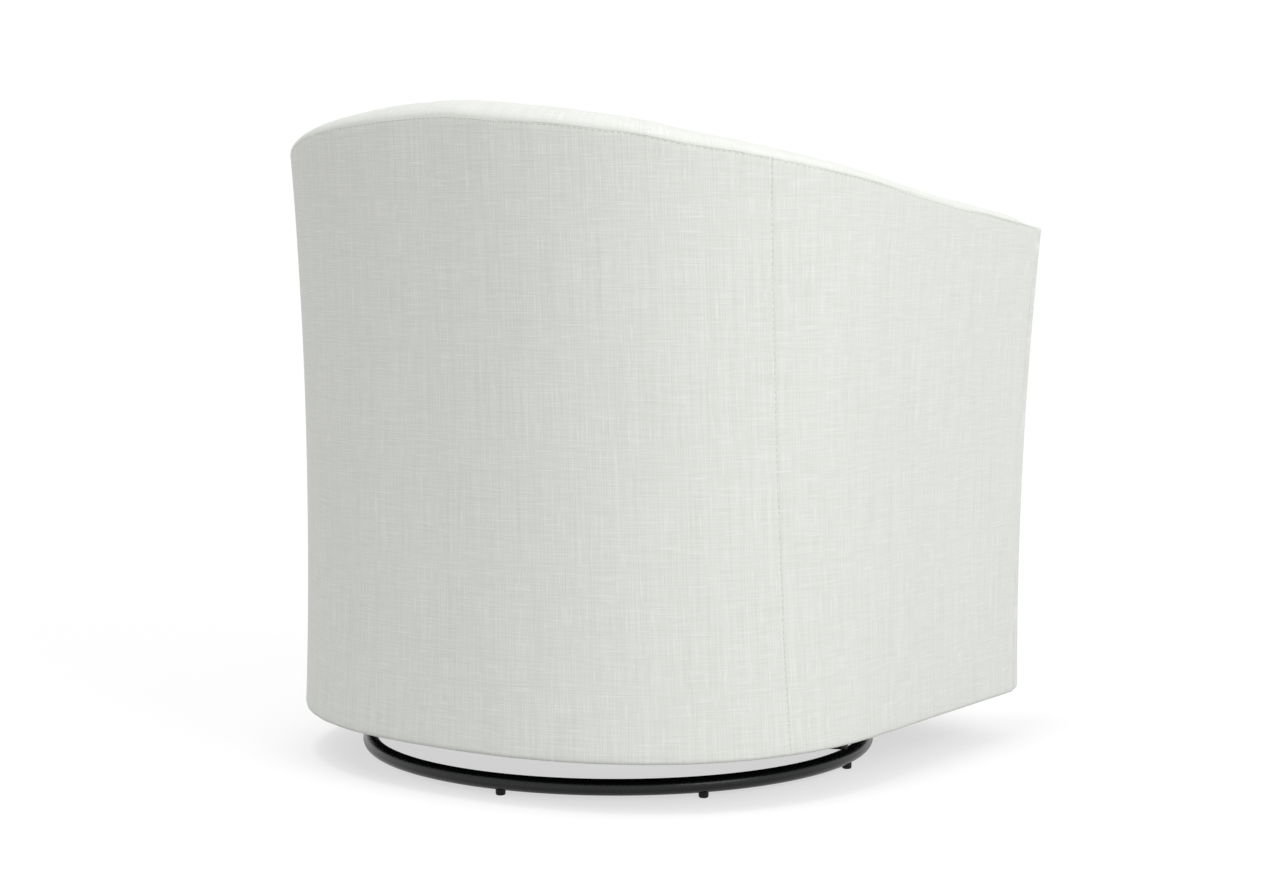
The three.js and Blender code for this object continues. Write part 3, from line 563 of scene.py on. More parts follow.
@dataclass(frozen=True)
class BarrelWall:
    """The curved wall of the chair, with the same sizes as its frame: outline, rim line and leans."""

    half_width: float = 377 * MM
    back_depth: float = 354 * MM
    side_length: float = 332.7 * MM
    outline_power: float = 2.35
    bottom: float = 56 * MM
    back_rim: float = 765 * MM
    front_rim: float = 642 * MM
    rim_drop_shares: tuple[float, ...] = (0, 0.05, 0.15, 0.315, 0.47, 0.615, 0.765, 0.885, 1)
    back_lean: float = 7 * MM
    side_lean: float = 14 * MM
    forward_lean: float = 22 * MM
    waist: float = 9 * MM
    side_seam: float = 0.704
    side_seam_slant: float = 0.059
    front_seam_reach: float = 68 * MM
    inner_seam: float = 0.62
    thickness: float = 95 * MM
    pad_thickness: float = 35 * MM
    back_rake: float = 35 * MM
    deck_bottom: float = 284.2 * MM
    deck_top: float = 299.2 * MM
    seam_waves: Waves = Waves(1.7 * MM, 70 * MM, 1.0, 8.2)
    wave_fade: float = 220 * MM
    measure_steps: int = 60

    def front_seam(self) -> float:
        """The station of the seam between the side and front covers."""
        return 1 + self.front_seam_reach / self.side_length

    def back_length(self) -> float:
        """Half the length of the curved back, from its middle to where the side turns straight."""
        places = [self.lower_edge(share)[0] for share in even(0, 1, self.measure_steps)]
        return sum((b - a).length for a, b in zip(places, places[1:]))

    def lower_edge(self, station: float) -> tuple[Vector, Vector]:
        """The lower edge's place and outward direction at a station from 0 to 2, on the left side."""
        if station >= 1:
            return Vector((self.half_width, (1 - station) * self.side_length)), Vector((1, 0))
        power = self.outline_power
        across = math.sin(station * math.pi / 2)
        along = math.cos(station * math.pi / 2)
        size = (across / self.half_width) ** power + (along / self.back_depth) ** power
        place = Vector((across, along)) * size ** (-1 / power)
        slope = Vector((
            (place.x / self.half_width) ** (power - 1) / self.half_width,
            (place.y / self.back_depth) ** (power - 1) / self.back_depth,
        ))
        return place, slope.normalized()

    def slanted(self, station: float, rise: float) -> float:
        """The station moved by the lean of the side seam, at a share of the wall's height."""
        seam = self.front_seam()
        weight = min(station / self.side_seam, (seam - station) / (seam - self.side_seam))
        return station + self.side_seam_slant * (0.5 - rise) * max(0.0, weight)

    def drop_at(self, place: float) -> float:
        """The share of the rim's drop at a share of the path from back to front."""
        shares = self.rim_drop_shares
        last = len(shares) - 1
        scaled = clamped(place) * last
        i = min(int(scaled), last - 1)
        t = scaled - i
        before = shares[i - 1] if i > 0 else shares[1]
        after = shares[i + 2] if i + 2 <= last else 2 * shares[last] - shares[last - 1]
        start = (shares[i + 1] - before) / 2
        end = (after - shares[i]) / 2
        rise = shares[i + 1] - shares[i]
        curve = t * t * (3 * rise - 2 * start - end)
        return shares[i] + t * start + curve + t ** 3 * (start + end - 2 * rise)


class Barrel:
    """Places on the barrel's wall."""

    def __init__(self, wall: BarrelWall) -> None:
        """Measure the wall once."""
        self.wall = wall
        self.back_length = wall.back_length()
        self.length = self.back_length + wall.side_length

    def run(self, station: float) -> float:
        """The length of wall, in metres, from the middle of the back to a station, signed like it."""
        place = abs(station)
        straight = max(0.0, place - 1) * self.wall.side_length
        return math.copysign(min(place, 1.0) * self.back_length + straight, station)

    def station(self, run: float) -> float:
        """The station at a signed length of wall from the middle of the back."""
        length = abs(run)
        if length < self.back_length:
            return run / self.back_length
        return math.copysign(1 + (length - self.back_length) / self.wall.side_length, run)

    def from_front(self, station: float) -> float:
        """How far a station lies behind the arms' front, in metres."""
        return (2 - abs(station)) * self.wall.side_length

    def seam_wave(self, station: float) -> float:
        """How far the rim's hand-sewn seam strays above its even line at a station."""
        share = clamped(self.from_front(station) / self.wall.wave_fade)
        return share * self.wall.seam_waves.at(self.run(station), 0.0)

    def rim(self, station: float) -> float:
        """The height of the rim's outer seam at a station."""
        wall = self.wall
        path = abs(self.run(wall.slanted(abs(station), 1))) / self.length
        height = wall.back_rim - (wall.back_rim - wall.front_rim) * wall.drop_at(path)
        return height + self.seam_wave(station)

    def point(self, station: float, inset: float, z: float) -> Vector:
        """A place in the wall.

        Args:
            station: Where it lies round the wall.
            inset: How far it lies in from the outside, in metres.
            z: Its height.

        Returns:
            The place.
        """
        wall = self.wall
        place = abs(station)
        rise = (z - wall.bottom) / (self.rim(station) - wall.bottom)
        edge, outward = wall.lower_edge(wall.slanted(place, rise))
        lean = wall.back_lean + (wall.side_lean - wall.back_lean) * min(place, 1.0)
        reach = lean * rise - wall.waist * arch(rise) - inset
        forward = wall.forward_lean * rise * max(0.0, place - 1)
        flat = edge + outward * reach
        return Vector((math.copysign(flat.x, station) if station else flat.x, flat.y - forward, z))

    def inner_inset(self, station: float, z: float) -> float:
        """How far in the inside pads' face lies."""
        wall = self.wall
        rise = (z - wall.deck_bottom) / (self.rim(station) - wall.deck_bottom)
        curve = math.cos(min(abs(station), 1.0) * math.pi / 2) ** 2
        return wall.thickness + wall.back_rake * curve * (1 - min(rise, 1.0))


# Covers, rim and pads


@dataclass(frozen=True)
class CoverEnd:
    """One upright end of an outside cover: its run, and how far its cloth rolls in."""

    run: float
    roll: float


@dataclass
class OutsideCovers:
    """The five outside covers, with rolled seams, topstitching and the cloth's slight unevenness."""

    barrel: Barrel
    wardrobe: Wardrobe
    thickness: float = 5.6 * MM
    hem_radius: float = 5 * MM
    turned_in: float = 10 * MM
    turned_cloth: float = 0.25 * MM
    top_roll: float = 0.4 * MM
    side_seam_roll: float = 0.4 * MM
    front_seam_roll: float = 0.3 * MM
    facing_seam_roll: float = 0.1 * MM
    seam_gap: float = 0.05 * MM
    column_step: float = 5.5 * MM
    row_step: float = 8 * MM
    back_rows: int = 6
    hem_rows: int = 5
    stitch_offset: float = 1.6 * MM
    broad_waves: Waves = Waves(1.1 * MM, 130 * MM, 210 * MM, 3.1)
    hem_puckers: Waves = Waves(1.0 * MM, 24 * MM, 260 * MM, 7.7)
    hem_pucker_height: float = 75 * MM
    rim_puckers: Waves = Waves(0.45 * MM, 21 * MM, 90 * MM, 5.3)
    rim_pucker_height: float = 35 * MM
    seam_puckers: Waves = Waves(0.45 * MM, 17 * MM, 100 * MM, 2.9)
    seam_pucker_width: float = 16 * MM

    def unevenness(self, run: float, z: float, rim: float) -> float:
        """How far in the cloth lies for its broad waves and for the puckers at hem and rim."""
        above_hem = math.exp(-(z - self.barrel.wall.bottom) / self.hem_pucker_height)
        below_rim = math.exp(-(rim - z) / self.rim_pucker_height)
        puckers = above_hem * self.hem_puckers.at(run, z) + below_rim * self.rim_puckers.at(run, z)
        return self.broad_waves.at(run, z) + puckers

    def inset(self, run: float, z: float, ends: Sequence[CoverEnd]) -> float:
        """How far in the face of a cover lies.

        Args:
            run: The length of wall at the place.
            z: Its height.
            ends: The cover's two ends.

        Returns:
            The inset in metres.
        """
        rim = self.barrel.rim(self.barrel.station(run))
        total = self.unevenness(run, z, rim)
        for end in ends:
            away = abs(run - end.run)
            total += rolled(away, end.roll)
            total += math.exp(-away / self.seam_pucker_width) * self.seam_puckers.at(z, end.run)
        return total

    def section(self, run: float, ends: Sequence[CoverEnd]) -> list[Vector]:
        """The closed section of a cover at one place along the wall."""
        station = self.barrel.station(run)
        low = self.barrel.wall.bottom
        high = self.barrel.rim(station)
        radius = self.hem_radius
        hem = self.inset(run, low + radius, ends)
        points = [(radius * inward + hem, low + radius * rise)
                  for rise, inward in quarter_turn(self.hem_rows)[:-1]]
        rows = round((self.barrel.wall.back_rim - low) / self.row_step)
        for z in even(low + radius, high - self.top_roll, rows)[:-1]:
            points.append((self.inset(run, z, ends), z))
        for share in reversed(ROLL_SHARES):
            away = share * self.top_roll
            inset = self.inset(run, high - away, ends) + rolled(away, self.top_roll)
            points.append((inset, high - away))
        foot = low + self.turned_cloth
        points += [(self.thickness, z) for z in even(high, foot, self.back_rows)]
        points += [(self.turned_in, foot), (self.turned_in, low)]
        return [self.barrel.point(station, inset, z) for inset, z in points]

    def build_cover(self, name: str, start: CoverEnd, end: CoverEnd) -> None:
        """Build the cover between two ends.

        Args:
            name: The CAD node that it replaces.
            start: Its end nearer the sitter's right arm's front.
            end: Its other end.
        """
        steps = round((end.run - start.run) / self.column_step)
        runs = packed(start.run, end.run, steps, start.roll, end.roll)
        rings = [self.section(run, (start, end)) for run in runs]
        mesh = swept_solid(rings, lambda ring, point, place: (runs[ring], place.z))
        piece = self.wardrobe.dress(new_piece(f"cover_{name}", mesh), Body.SEAT, Slot.LINEN_CLOTH,
                                    [name], PANEL_ANGLE)

    def side_seam_end(self, sign: int) -> CoverEnd:
        """The back cover's end at the side seam of one side."""
        run = sign * (self.barrel.run(self.barrel.wall.side_seam) - self.seam_gap)
        return CoverEnd(run, self.side_seam_roll)

    def build(self) -> None:
        """Build the back cover and both sides' covers, with their rows of stitches."""
        gap = self.seam_gap
        side_seam = self.barrel.run(self.barrel.wall.side_seam)
        front_seam = self.barrel.run(self.barrel.wall.front_seam())
        self.build_cover("outside_back", self.side_seam_end(-1), self.side_seam_end(1))
        for side, sign in SIDES.items():
            side_ends = (CoverEnd(sign * (side_seam + gap), self.side_seam_roll),
                         CoverEnd(sign * (front_seam - gap), self.front_seam_roll))
            front_ends = (CoverEnd(sign * (front_seam + gap), self.front_seam_roll),
                          CoverEnd(sign * (self.barrel.run(2) - gap), self.facing_seam_roll))
            self.build_cover(f"outside_side_{side}", *side_ends[::sign])
            self.build_cover(f"outside_front_{side}", *front_ends[::sign])
            self.stitch_side_seam(side, sign)
        self.stitch_rim()

    def stitch_side_seam(self, side: str, sign: int) -> None:
        """Sew the row of topstitches beside a side seam, on the back cover."""
        ends = (self.side_seam_end(-1), self.side_seam_end(1))
        run = self.side_seam_end(sign).run - sign * self.stitch_offset
        station = self.barrel.station(run)
        low = self.barrel.wall.bottom + 2 * self.hem_radius
        high = self.barrel.rim(station) - self.hem_radius

        def place(share: float) -> Vector:
            """A place in the row, at a share of its height."""
            z = low + (high - low) * share
            return self.barrel.point(station, self.inset(run, z, ends), z)

        Topstitching(f"stitches_side_seam_{side}", place, high - low).build(self.wardrobe)

    def stitch_rim(self) -> None:
        """Sew the row of topstitches below the rim's seam, round the back and both sides."""
        reach = self.barrel.run(2) - self.hem_radius

        def place(share: float) -> Vector:
            """A place in the row, at a share of its length."""
            run = -reach + 2 * reach * share
            station = self.barrel.station(run)
            z = self.barrel.rim(station) - self.stitch_offset
            return self.barrel.point(station, self.inset(run, z, ()), z)

        Topstitching("stitches_rim", place, 2 * reach).build(self.wardrobe)


@dataclass
class Topstitching:
    """A row of long machine stitches along a line on the cloth."""

    name: str
    place: Callable[[float], Vector]
    length: float
    pitch: float = 7 * MM
    stitch_length: float = 5.0 * MM
    thread_radius: float = 0.28 * MM
    thread_sides: int = 6
    thread_rings: int = 5

    def build(self, wardrobe: Wardrobe) -> None:
        """Lay one slim grain of thread for each stitch."""
        mesh = bmesh.new()
        count = int(self.length / self.pitch)
        reach = self.stitch_length / self.length / 2
        size = Matrix.Diagonal((self.thread_radius, self.thread_radius, self.stitch_length / 2, 1))
        for i in range(count):
            middle = (i + 0.5) / count
            start = self.place(middle - reach)
            end = self.place(middle + reach)
            along = (end - start).normalized()
            turn = along.to_track_quat("Z", "Y").to_matrix().to_4x4()
            matrix = Matrix.Translation((start + end) / 2) @ turn @ size
            bmesh.ops.create_uvsphere(mesh, u_segments=self.thread_sides, v_segments=self.thread_rings,
                                      radius=1, matrix=matrix)
        wardrobe.dress(new_piece(self.name, mesh), Body.SEAT)


@dataclass
class RimPad:
    """The padded rim over the back and arms: a crowned roll of foam under cloth."""

    barrel: Barrel
    wardrobe: Wardrobe
    back_crown: float = 20 * MM
    arm_crown: float = 13 * MM
    front_crown: float = 1 * MM
    crown_fall: float = 60 * MM
    fullness: float = 1.9
    # The cloth's path over the rim is so many times the rim's width.
    girth: float = 1.3
    column_step: float = 6 * MM
    end_roll: float = 2 * MM
    crown_points: int = 26
    base_points: int = 6
    lift: float = 0.08 * MM
    waves: Waves = Waves(0.8 * MM, 60 * MM, 47.5 * MM, 9.1)
    hard_angle: float = math.radians(70)

    def crown(self, station: float) -> float:
        """The height of the crown over its seams at a station."""
        path = min(self.barrel.run(abs(station)) / self.barrel.length, 1)
        along = self.back_crown + (self.arm_crown - self.back_crown) * path
        rise = eased(self.barrel.from_front(station) / self.crown_fall)
        return self.front_crown + (along - self.front_crown) * rise

    def section(self, run: float) -> list[Vector]:
        """The closed section of the rim at one place along the wall."""
        station = self.barrel.station(run)
        seam = self.barrel.rim(station) + self.lift
        crown = self.crown(station) - self.barrel.seam_wave(station)
        width = self.barrel.wall.thickness
        power = 2 / self.fullness
        points = []
        for turn in even(0, math.pi, self.crown_points):
            across = width * (1 - math.copysign(abs(math.cos(turn)) ** power, math.cos(turn))) / 2
            rise = max(0.0, math.sin(turn)) ** power
            points.append((across, seam + rise * (crown + self.waves.at(run, across))))
        points += [(inset, seam) for inset in even(width, 0, self.base_points)[1:-1]]
        return [self.barrel.point(station, inset, z) for inset, z in points]

    def build(self) -> None:
        """Build the rim in one length from arm to arm."""
        reach = self.barrel.run(2)
        runs = packed(-reach, reach, round(2 * reach / self.column_step), self.end_roll)
        rings = [self.section(run) for run in runs]
        step = self.barrel.wall.thickness * self.girth / self.crown_points
        mesh = swept_solid(rings, lambda ring, point, place: (runs[ring], point * step))
        piece = self.wardrobe.dress(new_piece("rim_roll", mesh), Body.SEAT, Slot.LINEN_CLOTH,
                                    ["rim_pad"], self.hard_angle)


@dataclass
class InsidePads:
    """The padded inside back and inside arms, a little fuller in their middles."""

    barrel: Barrel
    wardrobe: Wardrobe
    fullness: float = 7 * MM
    fullness_power: float = 0.7
    seam_roll: float = 2.5 * MM
    seam_gap: float = 0.2 * MM
    top_roll: float = 2 * MM
    column_step: float = 8 * MM
    row_step: float = 10 * MM
    back_rows: int = 5
    clearance: float = 0.3 * MM
    cushion_top: float = 428 * MM
    waves: Waves = Waves(1.2 * MM, 70 * MM, 90 * MM, 4.4)

    def section(self, run: float, ends: tuple[float, float]) -> list[Vector]:
        """The closed section of a pad at one place along the wall."""
        station = self.barrel.station(run)
        wall = self.barrel.wall
        low = wall.deck_bottom
        high = self.barrel.rim(station) - self.clearance
        across = (run - ends[0]) / (ends[1] - ends[0])
        side = rolled(min(run - ends[0], ends[1] - run), self.seam_roll)
        points = []
        for z in packed(low, high, round((wall.back_rim - low) / self.row_step), self.top_roll):
            up = max(0.0, (z - self.cushion_top) / (high - self.cushion_top))
            full = self.fullness * (arch(across) * arch(up)) ** self.fullness_power
            wave = min(1, 2 * arch(up)) * self.waves.at(run, z)
            fold = side + rolled(min(z - low, high - z), self.top_roll)
            points.append((self.barrel.inner_inset(station, z) + full + wave - fold, z))
        points += [(wall.thickness - wall.pad_thickness, z) for z in even(high, low, self.back_rows)]
        return [self.barrel.point(station, inset, z) for inset, z in points]

    def build_pad(self, name: str, start: float, end: float) -> None:
        """Build the pad between two stations."""
        ends = (self.barrel.run(start) + self.seam_gap, self.barrel.run(end) - self.seam_gap)
        runs = packed(*ends, round((ends[1] - ends[0]) / self.column_step), self.seam_roll)
        rings = [self.section(run, ends) for run in runs]
        mesh = swept_solid(rings, lambda ring, point, place: (runs[ring], place.z))
        piece = self.wardrobe.dress(new_piece(f"pad_{name}", mesh), Body.SEAT, Slot.LINEN_CLOTH,
                                    [name], PANEL_ANGLE)

    def build(self) -> None:
        """Build the inside back and both inside arms."""
        seam = self.barrel.wall.inner_seam
        self.build_pad("inside_back", -seam, seam)
        for side, sign in SIDES.items():
            self.build_pad(f"inside_arm_{side}", *sorted((sign * seam, sign * 2)))


@dataclass
class FrontPieces:
    """The arm facings and the apron below the seat cushion."""

    barrel: Barrel
    wardrobe: Wardrobe
    gap: float = 0.05 * MM
    row_step: float = 10 * MM
    facing_thickness: float = 14 * MM
    facing_corner: float = 5 * MM
    facing_crown: float = 2 * MM
    foot_roll: float = 9 * MM
    head_roll: float = 4 * MM
    foot_points: int = 6
    head_points: int = 5
    corner_points: int = 6
    face_points: int = 12
    apron_thickness: float = 10 * MM
    apron_crown: float = 4 * MM
    apron_roll: float = 5 * MM
    apron_end_roll: float = 3 * MM
    apron_clearance: float = 0.8 * MM
    apron_columns: int = 60
    apron_back_rows: int = 4
    apron_waves: Waves = Waves(0.8 * MM, 60 * MM, 80 * MM, 6.6)

    def face_y(self, z: float, reach: float) -> float:
        """Where the front of the arms lies at a height, and so much further out."""
        wall = self.barrel.wall
        rise = (z - wall.bottom) / (wall.front_rim - wall.bottom)
        return -wall.side_length - reach - wall.forward_lean * rise

    def facing_section(self, z: float, shrink: float, sign: int) -> list[Vector]:
        """The closed level section of a facing.

        Args:
            z: Its height.
            shrink: How far its edge is drawn in here.
            sign: 1 for the left arm and -1 for the right.

        Returns:
            The loop of points.
        """
        outer = self.barrel.point(2, 0, z).x - shrink
        inner = self.barrel.point(2, self.barrel.wall.thickness, z).x + shrink
        back = self.face_y(z, self.gap)
        front = self.face_y(z, self.gap + self.facing_thickness) + shrink
        corner = self.facing_corner
        rounding = quarter_turn(self.corner_points)
        flat = [(outer - corner * first, front + corner * second) for first, second in rounding]
        for share in even(0, 1, self.face_points)[1:-1]:
            x = outer - corner + (inner + 2 * corner - outer) * share
            flat.append((x, front - self.facing_crown * arch(share)))
        flat += [(inner + corner * second, front + corner * first) for first, second in rounding]
        flat += [(x, back) for x in even(inner, outer, 2)]
        return [Vector((sign * x, y, z)) for x, y in flat]

    def build_facing(self, side: str, sign: int) -> None:
        """Build one padded arm facing, rounded at its foot and head."""
        low = self.barrel.wall.bottom
        high = self.barrel.wall.front_rim + RimPad.front_crown
        foot, head = self.foot_roll, self.head_roll
        rows = round((high - low) / self.row_step)
        places = [(low + foot * up, foot * inward) for up, inward in quarter_turn(self.foot_points)]
        places += [(z, 0.0) for z in even(low + foot, high - head, rows)[1:-1]]
        places += [(high - head * down, head * inward)
                   for inward, down in quarter_turn(self.head_points)]
        rings = [self.facing_section(z, shrink, sign) for z, shrink in places]
        self.finish_panel(f"facing_{side}", rings, f"arm_facing_{side}")

    def apron_half(self, z: float) -> float:
        """Half the apron's width at a height."""
        return self.barrel.point(2, self.barrel.wall.thickness, z).x - self.apron_clearance

    def apron_section(self, share: float, levels: Sequence[float]) -> list[Vector]:
        """The closed upright section of the apron at a share of its width, through some levels."""
        low, high = levels[0], levels[-1]
        bulge = self.apron_crown * arch(share)
        ring = []
        for z in levels:
            half = self.apron_half(z)
            x = half * (2 * share - 1)
            edge = rolled(half - abs(x), self.apron_end_roll)
            edge += rolled(min(z - low, high - z), self.apron_roll) + self.apron_waves.at(x, z)
            ring.append(Vector((x, self.face_y(z, self.gap + self.apron_thickness) - bulge + edge, z)))
        back = -self.barrel.wall.side_length - self.gap
        for z in even(high, low, self.apron_back_rows):
            ring.append(Vector((self.apron_half(z) * (2 * share - 1), back, z)))
        return ring

    def build_apron(self) -> None:
        """Build the padded apron between the arms, upright where it meets the rail and the deck."""
        low = self.barrel.wall.bottom
        high = self.barrel.wall.deck_top - self.gap
        levels = packed(low, high, round((high - low) / self.row_step), self.apron_roll)
        rings = [self.apron_section(share, levels) for share in even(0, 1, self.apron_columns)]
        self.finish_panel("apron", rings, "front_apron")

    def finish_panel(self, name: str, rings: Sequence[Sequence[Vector]], node: str) -> None:
        """Sweep one panel and dress it in linen, its cloth lying as seen from the front."""
        mesh = swept_solid(rings, lambda ring, point, place: (place.x, place.z))
        piece = self.wardrobe.dress(new_piece(name, mesh), Body.SEAT, Slot.LINEN_CLOTH,
                                    [node], PANEL_ANGLE)

    def build(self) -> None:
        """Build both facings and the apron."""
        for side, sign in SIDES.items():
            self.build_facing(side, sign)
        self.build_apron()


# Seat


@dataclass
class SeatCushion:
    """The loose box cushion: two panels sewn to a boxing, stuffed by simulation, with sunk seams."""

    wardrobe: Wardrobe
    voxel: float = 7 * MM
    shrink: float = 3 * MM
    swell_cap: float = 13 * MM
    side_cap: float = 4 * MM
    pressure: float = 4.0
    frames: int = 20
    quality: int = 5
    lower_seam_rise: float = 12 * MM
    upper_seam_fall: float = 26 * MM
    seam_band: float = 3.6 * MM
    seam_reach: float = 8 * MM
    seam_depth: float = 2.4 * MM
    puckers: Waves = Waves(1.1 * MM, 12 * MM, 12 * MM, third=70 * MM)
    pucker_fall: float = 20 * MM
    broad_waves: Waves = Waves(1.6 * MM, 110 * MM, 110 * MM, 1.7)
    boxing_radius: float = 300 * MM
    # Faces whose normal rises more than this belong to the two panels, and the others to the boxing.
    panel_slope: float = 0.6

    def __post_init__(self) -> None:
        """Find the space between the arms that the cushion fills."""
        self.low, self.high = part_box("seat_cushion")
        self.centre = (self.low + self.high) / 2

    def build(self) -> None:
        """Stuff the cushion, sew its seams in, and dress it."""
        piece = self.small_copy()
        shape_by(piece, "REMESH", mode="VOXEL", voxel_size=self.voxel)
        self.stuff(piece)
        shape_by(piece, "SUBSURF", levels=1, render_levels=1)
        self.crease(piece)
        self.map_cloth(piece)
        self.wardrobe.dress(piece, Body.SEAT, Slot.LINEN_CLOTH, ["seat_cushion"])

    def small_copy(self) -> bpy.types.Object:
        """Copy the cushion's solid a little smaller, because it swells."""
        mesh = cad_copy("seat_cushion")
        shares = [1 - 2 * self.shrink / length for length in self.high - self.low]
        bmesh.ops.transform(mesh, matrix=Matrix.Diagonal(shares).to_4x4(), verts=mesh.verts,
                            space=Matrix.Translation(-self.centre))
        return new_piece("cushion", mesh)

    def seam_distance(self, z: float) -> float:
        """How far a height lies from the nearer of the two seams round the boxing."""
        lower = self.low.z + self.lower_seam_rise
        upper = self.high.z - self.upper_seam_fall
        return min(abs(z - lower), abs(z - upper))

    def stuff(self, piece: bpy.types.Object) -> None:
        """Inflate the skin as cloth held at its seams, cap how far it moves, and keep the result."""
        before = [vert.co.copy() for vert in piece.data.vertices]
        seams = piece.vertex_groups.new(name="seams")
        held = [i for i, place in enumerate(before) if self.seam_distance(place.z) < self.seam_band]
        seams.add(held, 1.0, "REPLACE")
        cloth = piece.modifiers.new("cloth", "CLOTH")
        cloth.settings.quality = self.quality
        cloth.settings.vertex_group_mass = seams.name
        cloth.settings.use_pressure = True
        cloth.settings.uniform_pressure_force = self.pressure
        cloth.settings.effector_weights.gravity = 0
        for number in range(1, self.frames + 1):
            bpy.context.scene.frame_set(number)
        apply_modifiers(piece)
        bpy.context.scene.frame_set(1)
        piece.vertex_groups.clear()
        for vert, start in zip(piece.data.vertices, before):
            move = vert.co - start
            across = Vector((move.x, move.y))
            if across.length > self.side_cap:
                across *= self.side_cap / across.length
            rise = clamped(move.z, -self.swell_cap, self.swell_cap)
            vert.co = start + Vector((across.x, across.y, rise))

    def crease(self, piece: bpy.types.Object) -> None:
        """Draw the seams in, pucker the cloth beside them, and set the cushion flat on the deck."""
        mesh = bmesh.new()
        mesh.from_mesh(piece.data)
        mesh.normal_update()
        normals = {vert: vert.normal.copy() for vert in mesh.verts}
        for vert, normal in normals.items():
            x, y, z = vert.co
            away = self.seam_distance(z)
            level = Vector((normal.x, normal.y, 0))
            pucker = math.exp(-away / self.pucker_fall) * self.puckers.at(x, y, z)
            vert.co -= level * self.seam_depth * dent(away, self.seam_reach)
            vert.co += normal * (pucker + self.broad_waves.at(x, y) * max(0.0, normal.z))
            vert.co.z = max(vert.co.z, self.low.z)
            vert.co.x = clamped(vert.co.x, self.low.x, self.high.x)
        mesh.to_mesh(piece.data)
        mesh.free()

    def map_cloth(self, piece: bpy.types.Object) -> None:
        """Give the skin cloth coordinates: from above on its panels, and along its boxing."""
        layer = piece.data.uv_layers.new(name=CLOTH_UV)
        for polygon in piece.data.polygons:
            panel = abs(polygon.normal.z) > self.panel_slope
            middle = self.turn(polygon.center)
            for loop in polygon.loop_indices:
                place = piece.data.vertices[piece.data.loops[loop].vertex_index].co
                turn = self.turn(place)
                if abs(turn - middle) > math.pi:
                    turn += math.copysign(2 * math.pi, middle)
                boxing = (turn * self.boxing_radius, place.z)
                layer.data[loop].uv = (place.x, place.y) if panel else boxing

    def turn(self, place: Vector) -> float:
        """The angle of a place round the cushion's middle, from 0 at its front."""
        return math.atan2(place.x - self.centre.x, self.centre.y - place.y)


@dataclass
class SeatDeck:
    """The padded deck under the cushion: black cloth over felt, with a front band of the linen."""

    wardrobe: Wardrobe
    band_depth: float = 80 * MM
    join_gap: float = 0.6 * MM
    edge_radius: float = 4 * MM
    edge_segments: int = 4

    def build(self) -> None:
        """Build the black deck and its front band."""
        deck = self.wardrobe.dress(new_piece("deck", self.cut(behind=True)), Body.SEAT,
                                   Slot.DECK_CLOTH, ["seat_deck"], HARD_ANGLE)
        band = self.wardrobe.dress(new_piece("deck_front_band", self.cut(behind=False)), Body.SEAT,
                                   Slot.LINEN_CLOTH, angle=HARD_ANGLE)

    def cut(self, behind: bool) -> bmesh.types.BMesh:
        """Copy the deck's solid, keep one side of the band's join, and round its edges.

        Args:
            behind: Whether to keep what lies behind the join.

        Returns:
            The closed pad, with cloth coordinates.
        """
        mesh = cad_copy("seat_deck")
        merge_flat_faces(mesh)
        side = 1 if behind else -1
        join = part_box("seat_deck")[0].y + self.band_depth + side * self.join_gap / 2
        everything = [*mesh.verts, *mesh.edges, *mesh.faces]
        bmesh.ops.bisect_plane(mesh, geom=everything, plane_co=(0, join, 0), plane_no=(0, side, 0),
                               clear_inner=True)
        bmesh.ops.holes_fill(mesh, edges=[edge for edge in mesh.edges if edge.is_boundary], sides=0)
        bmesh.ops.recalc_face_normals(mesh, faces=mesh.faces)
        round_edges(mesh, self.edge_radius, self.edge_segments)
        layer = mesh.loops.layers.uv.new(CLOTH_UV)
        for face in mesh.faces:
            for loop in face.loops:
                loop[layer].uv = (loop.vert.co.x, loop.vert.co.y - loop.vert.co.z)
        return mesh


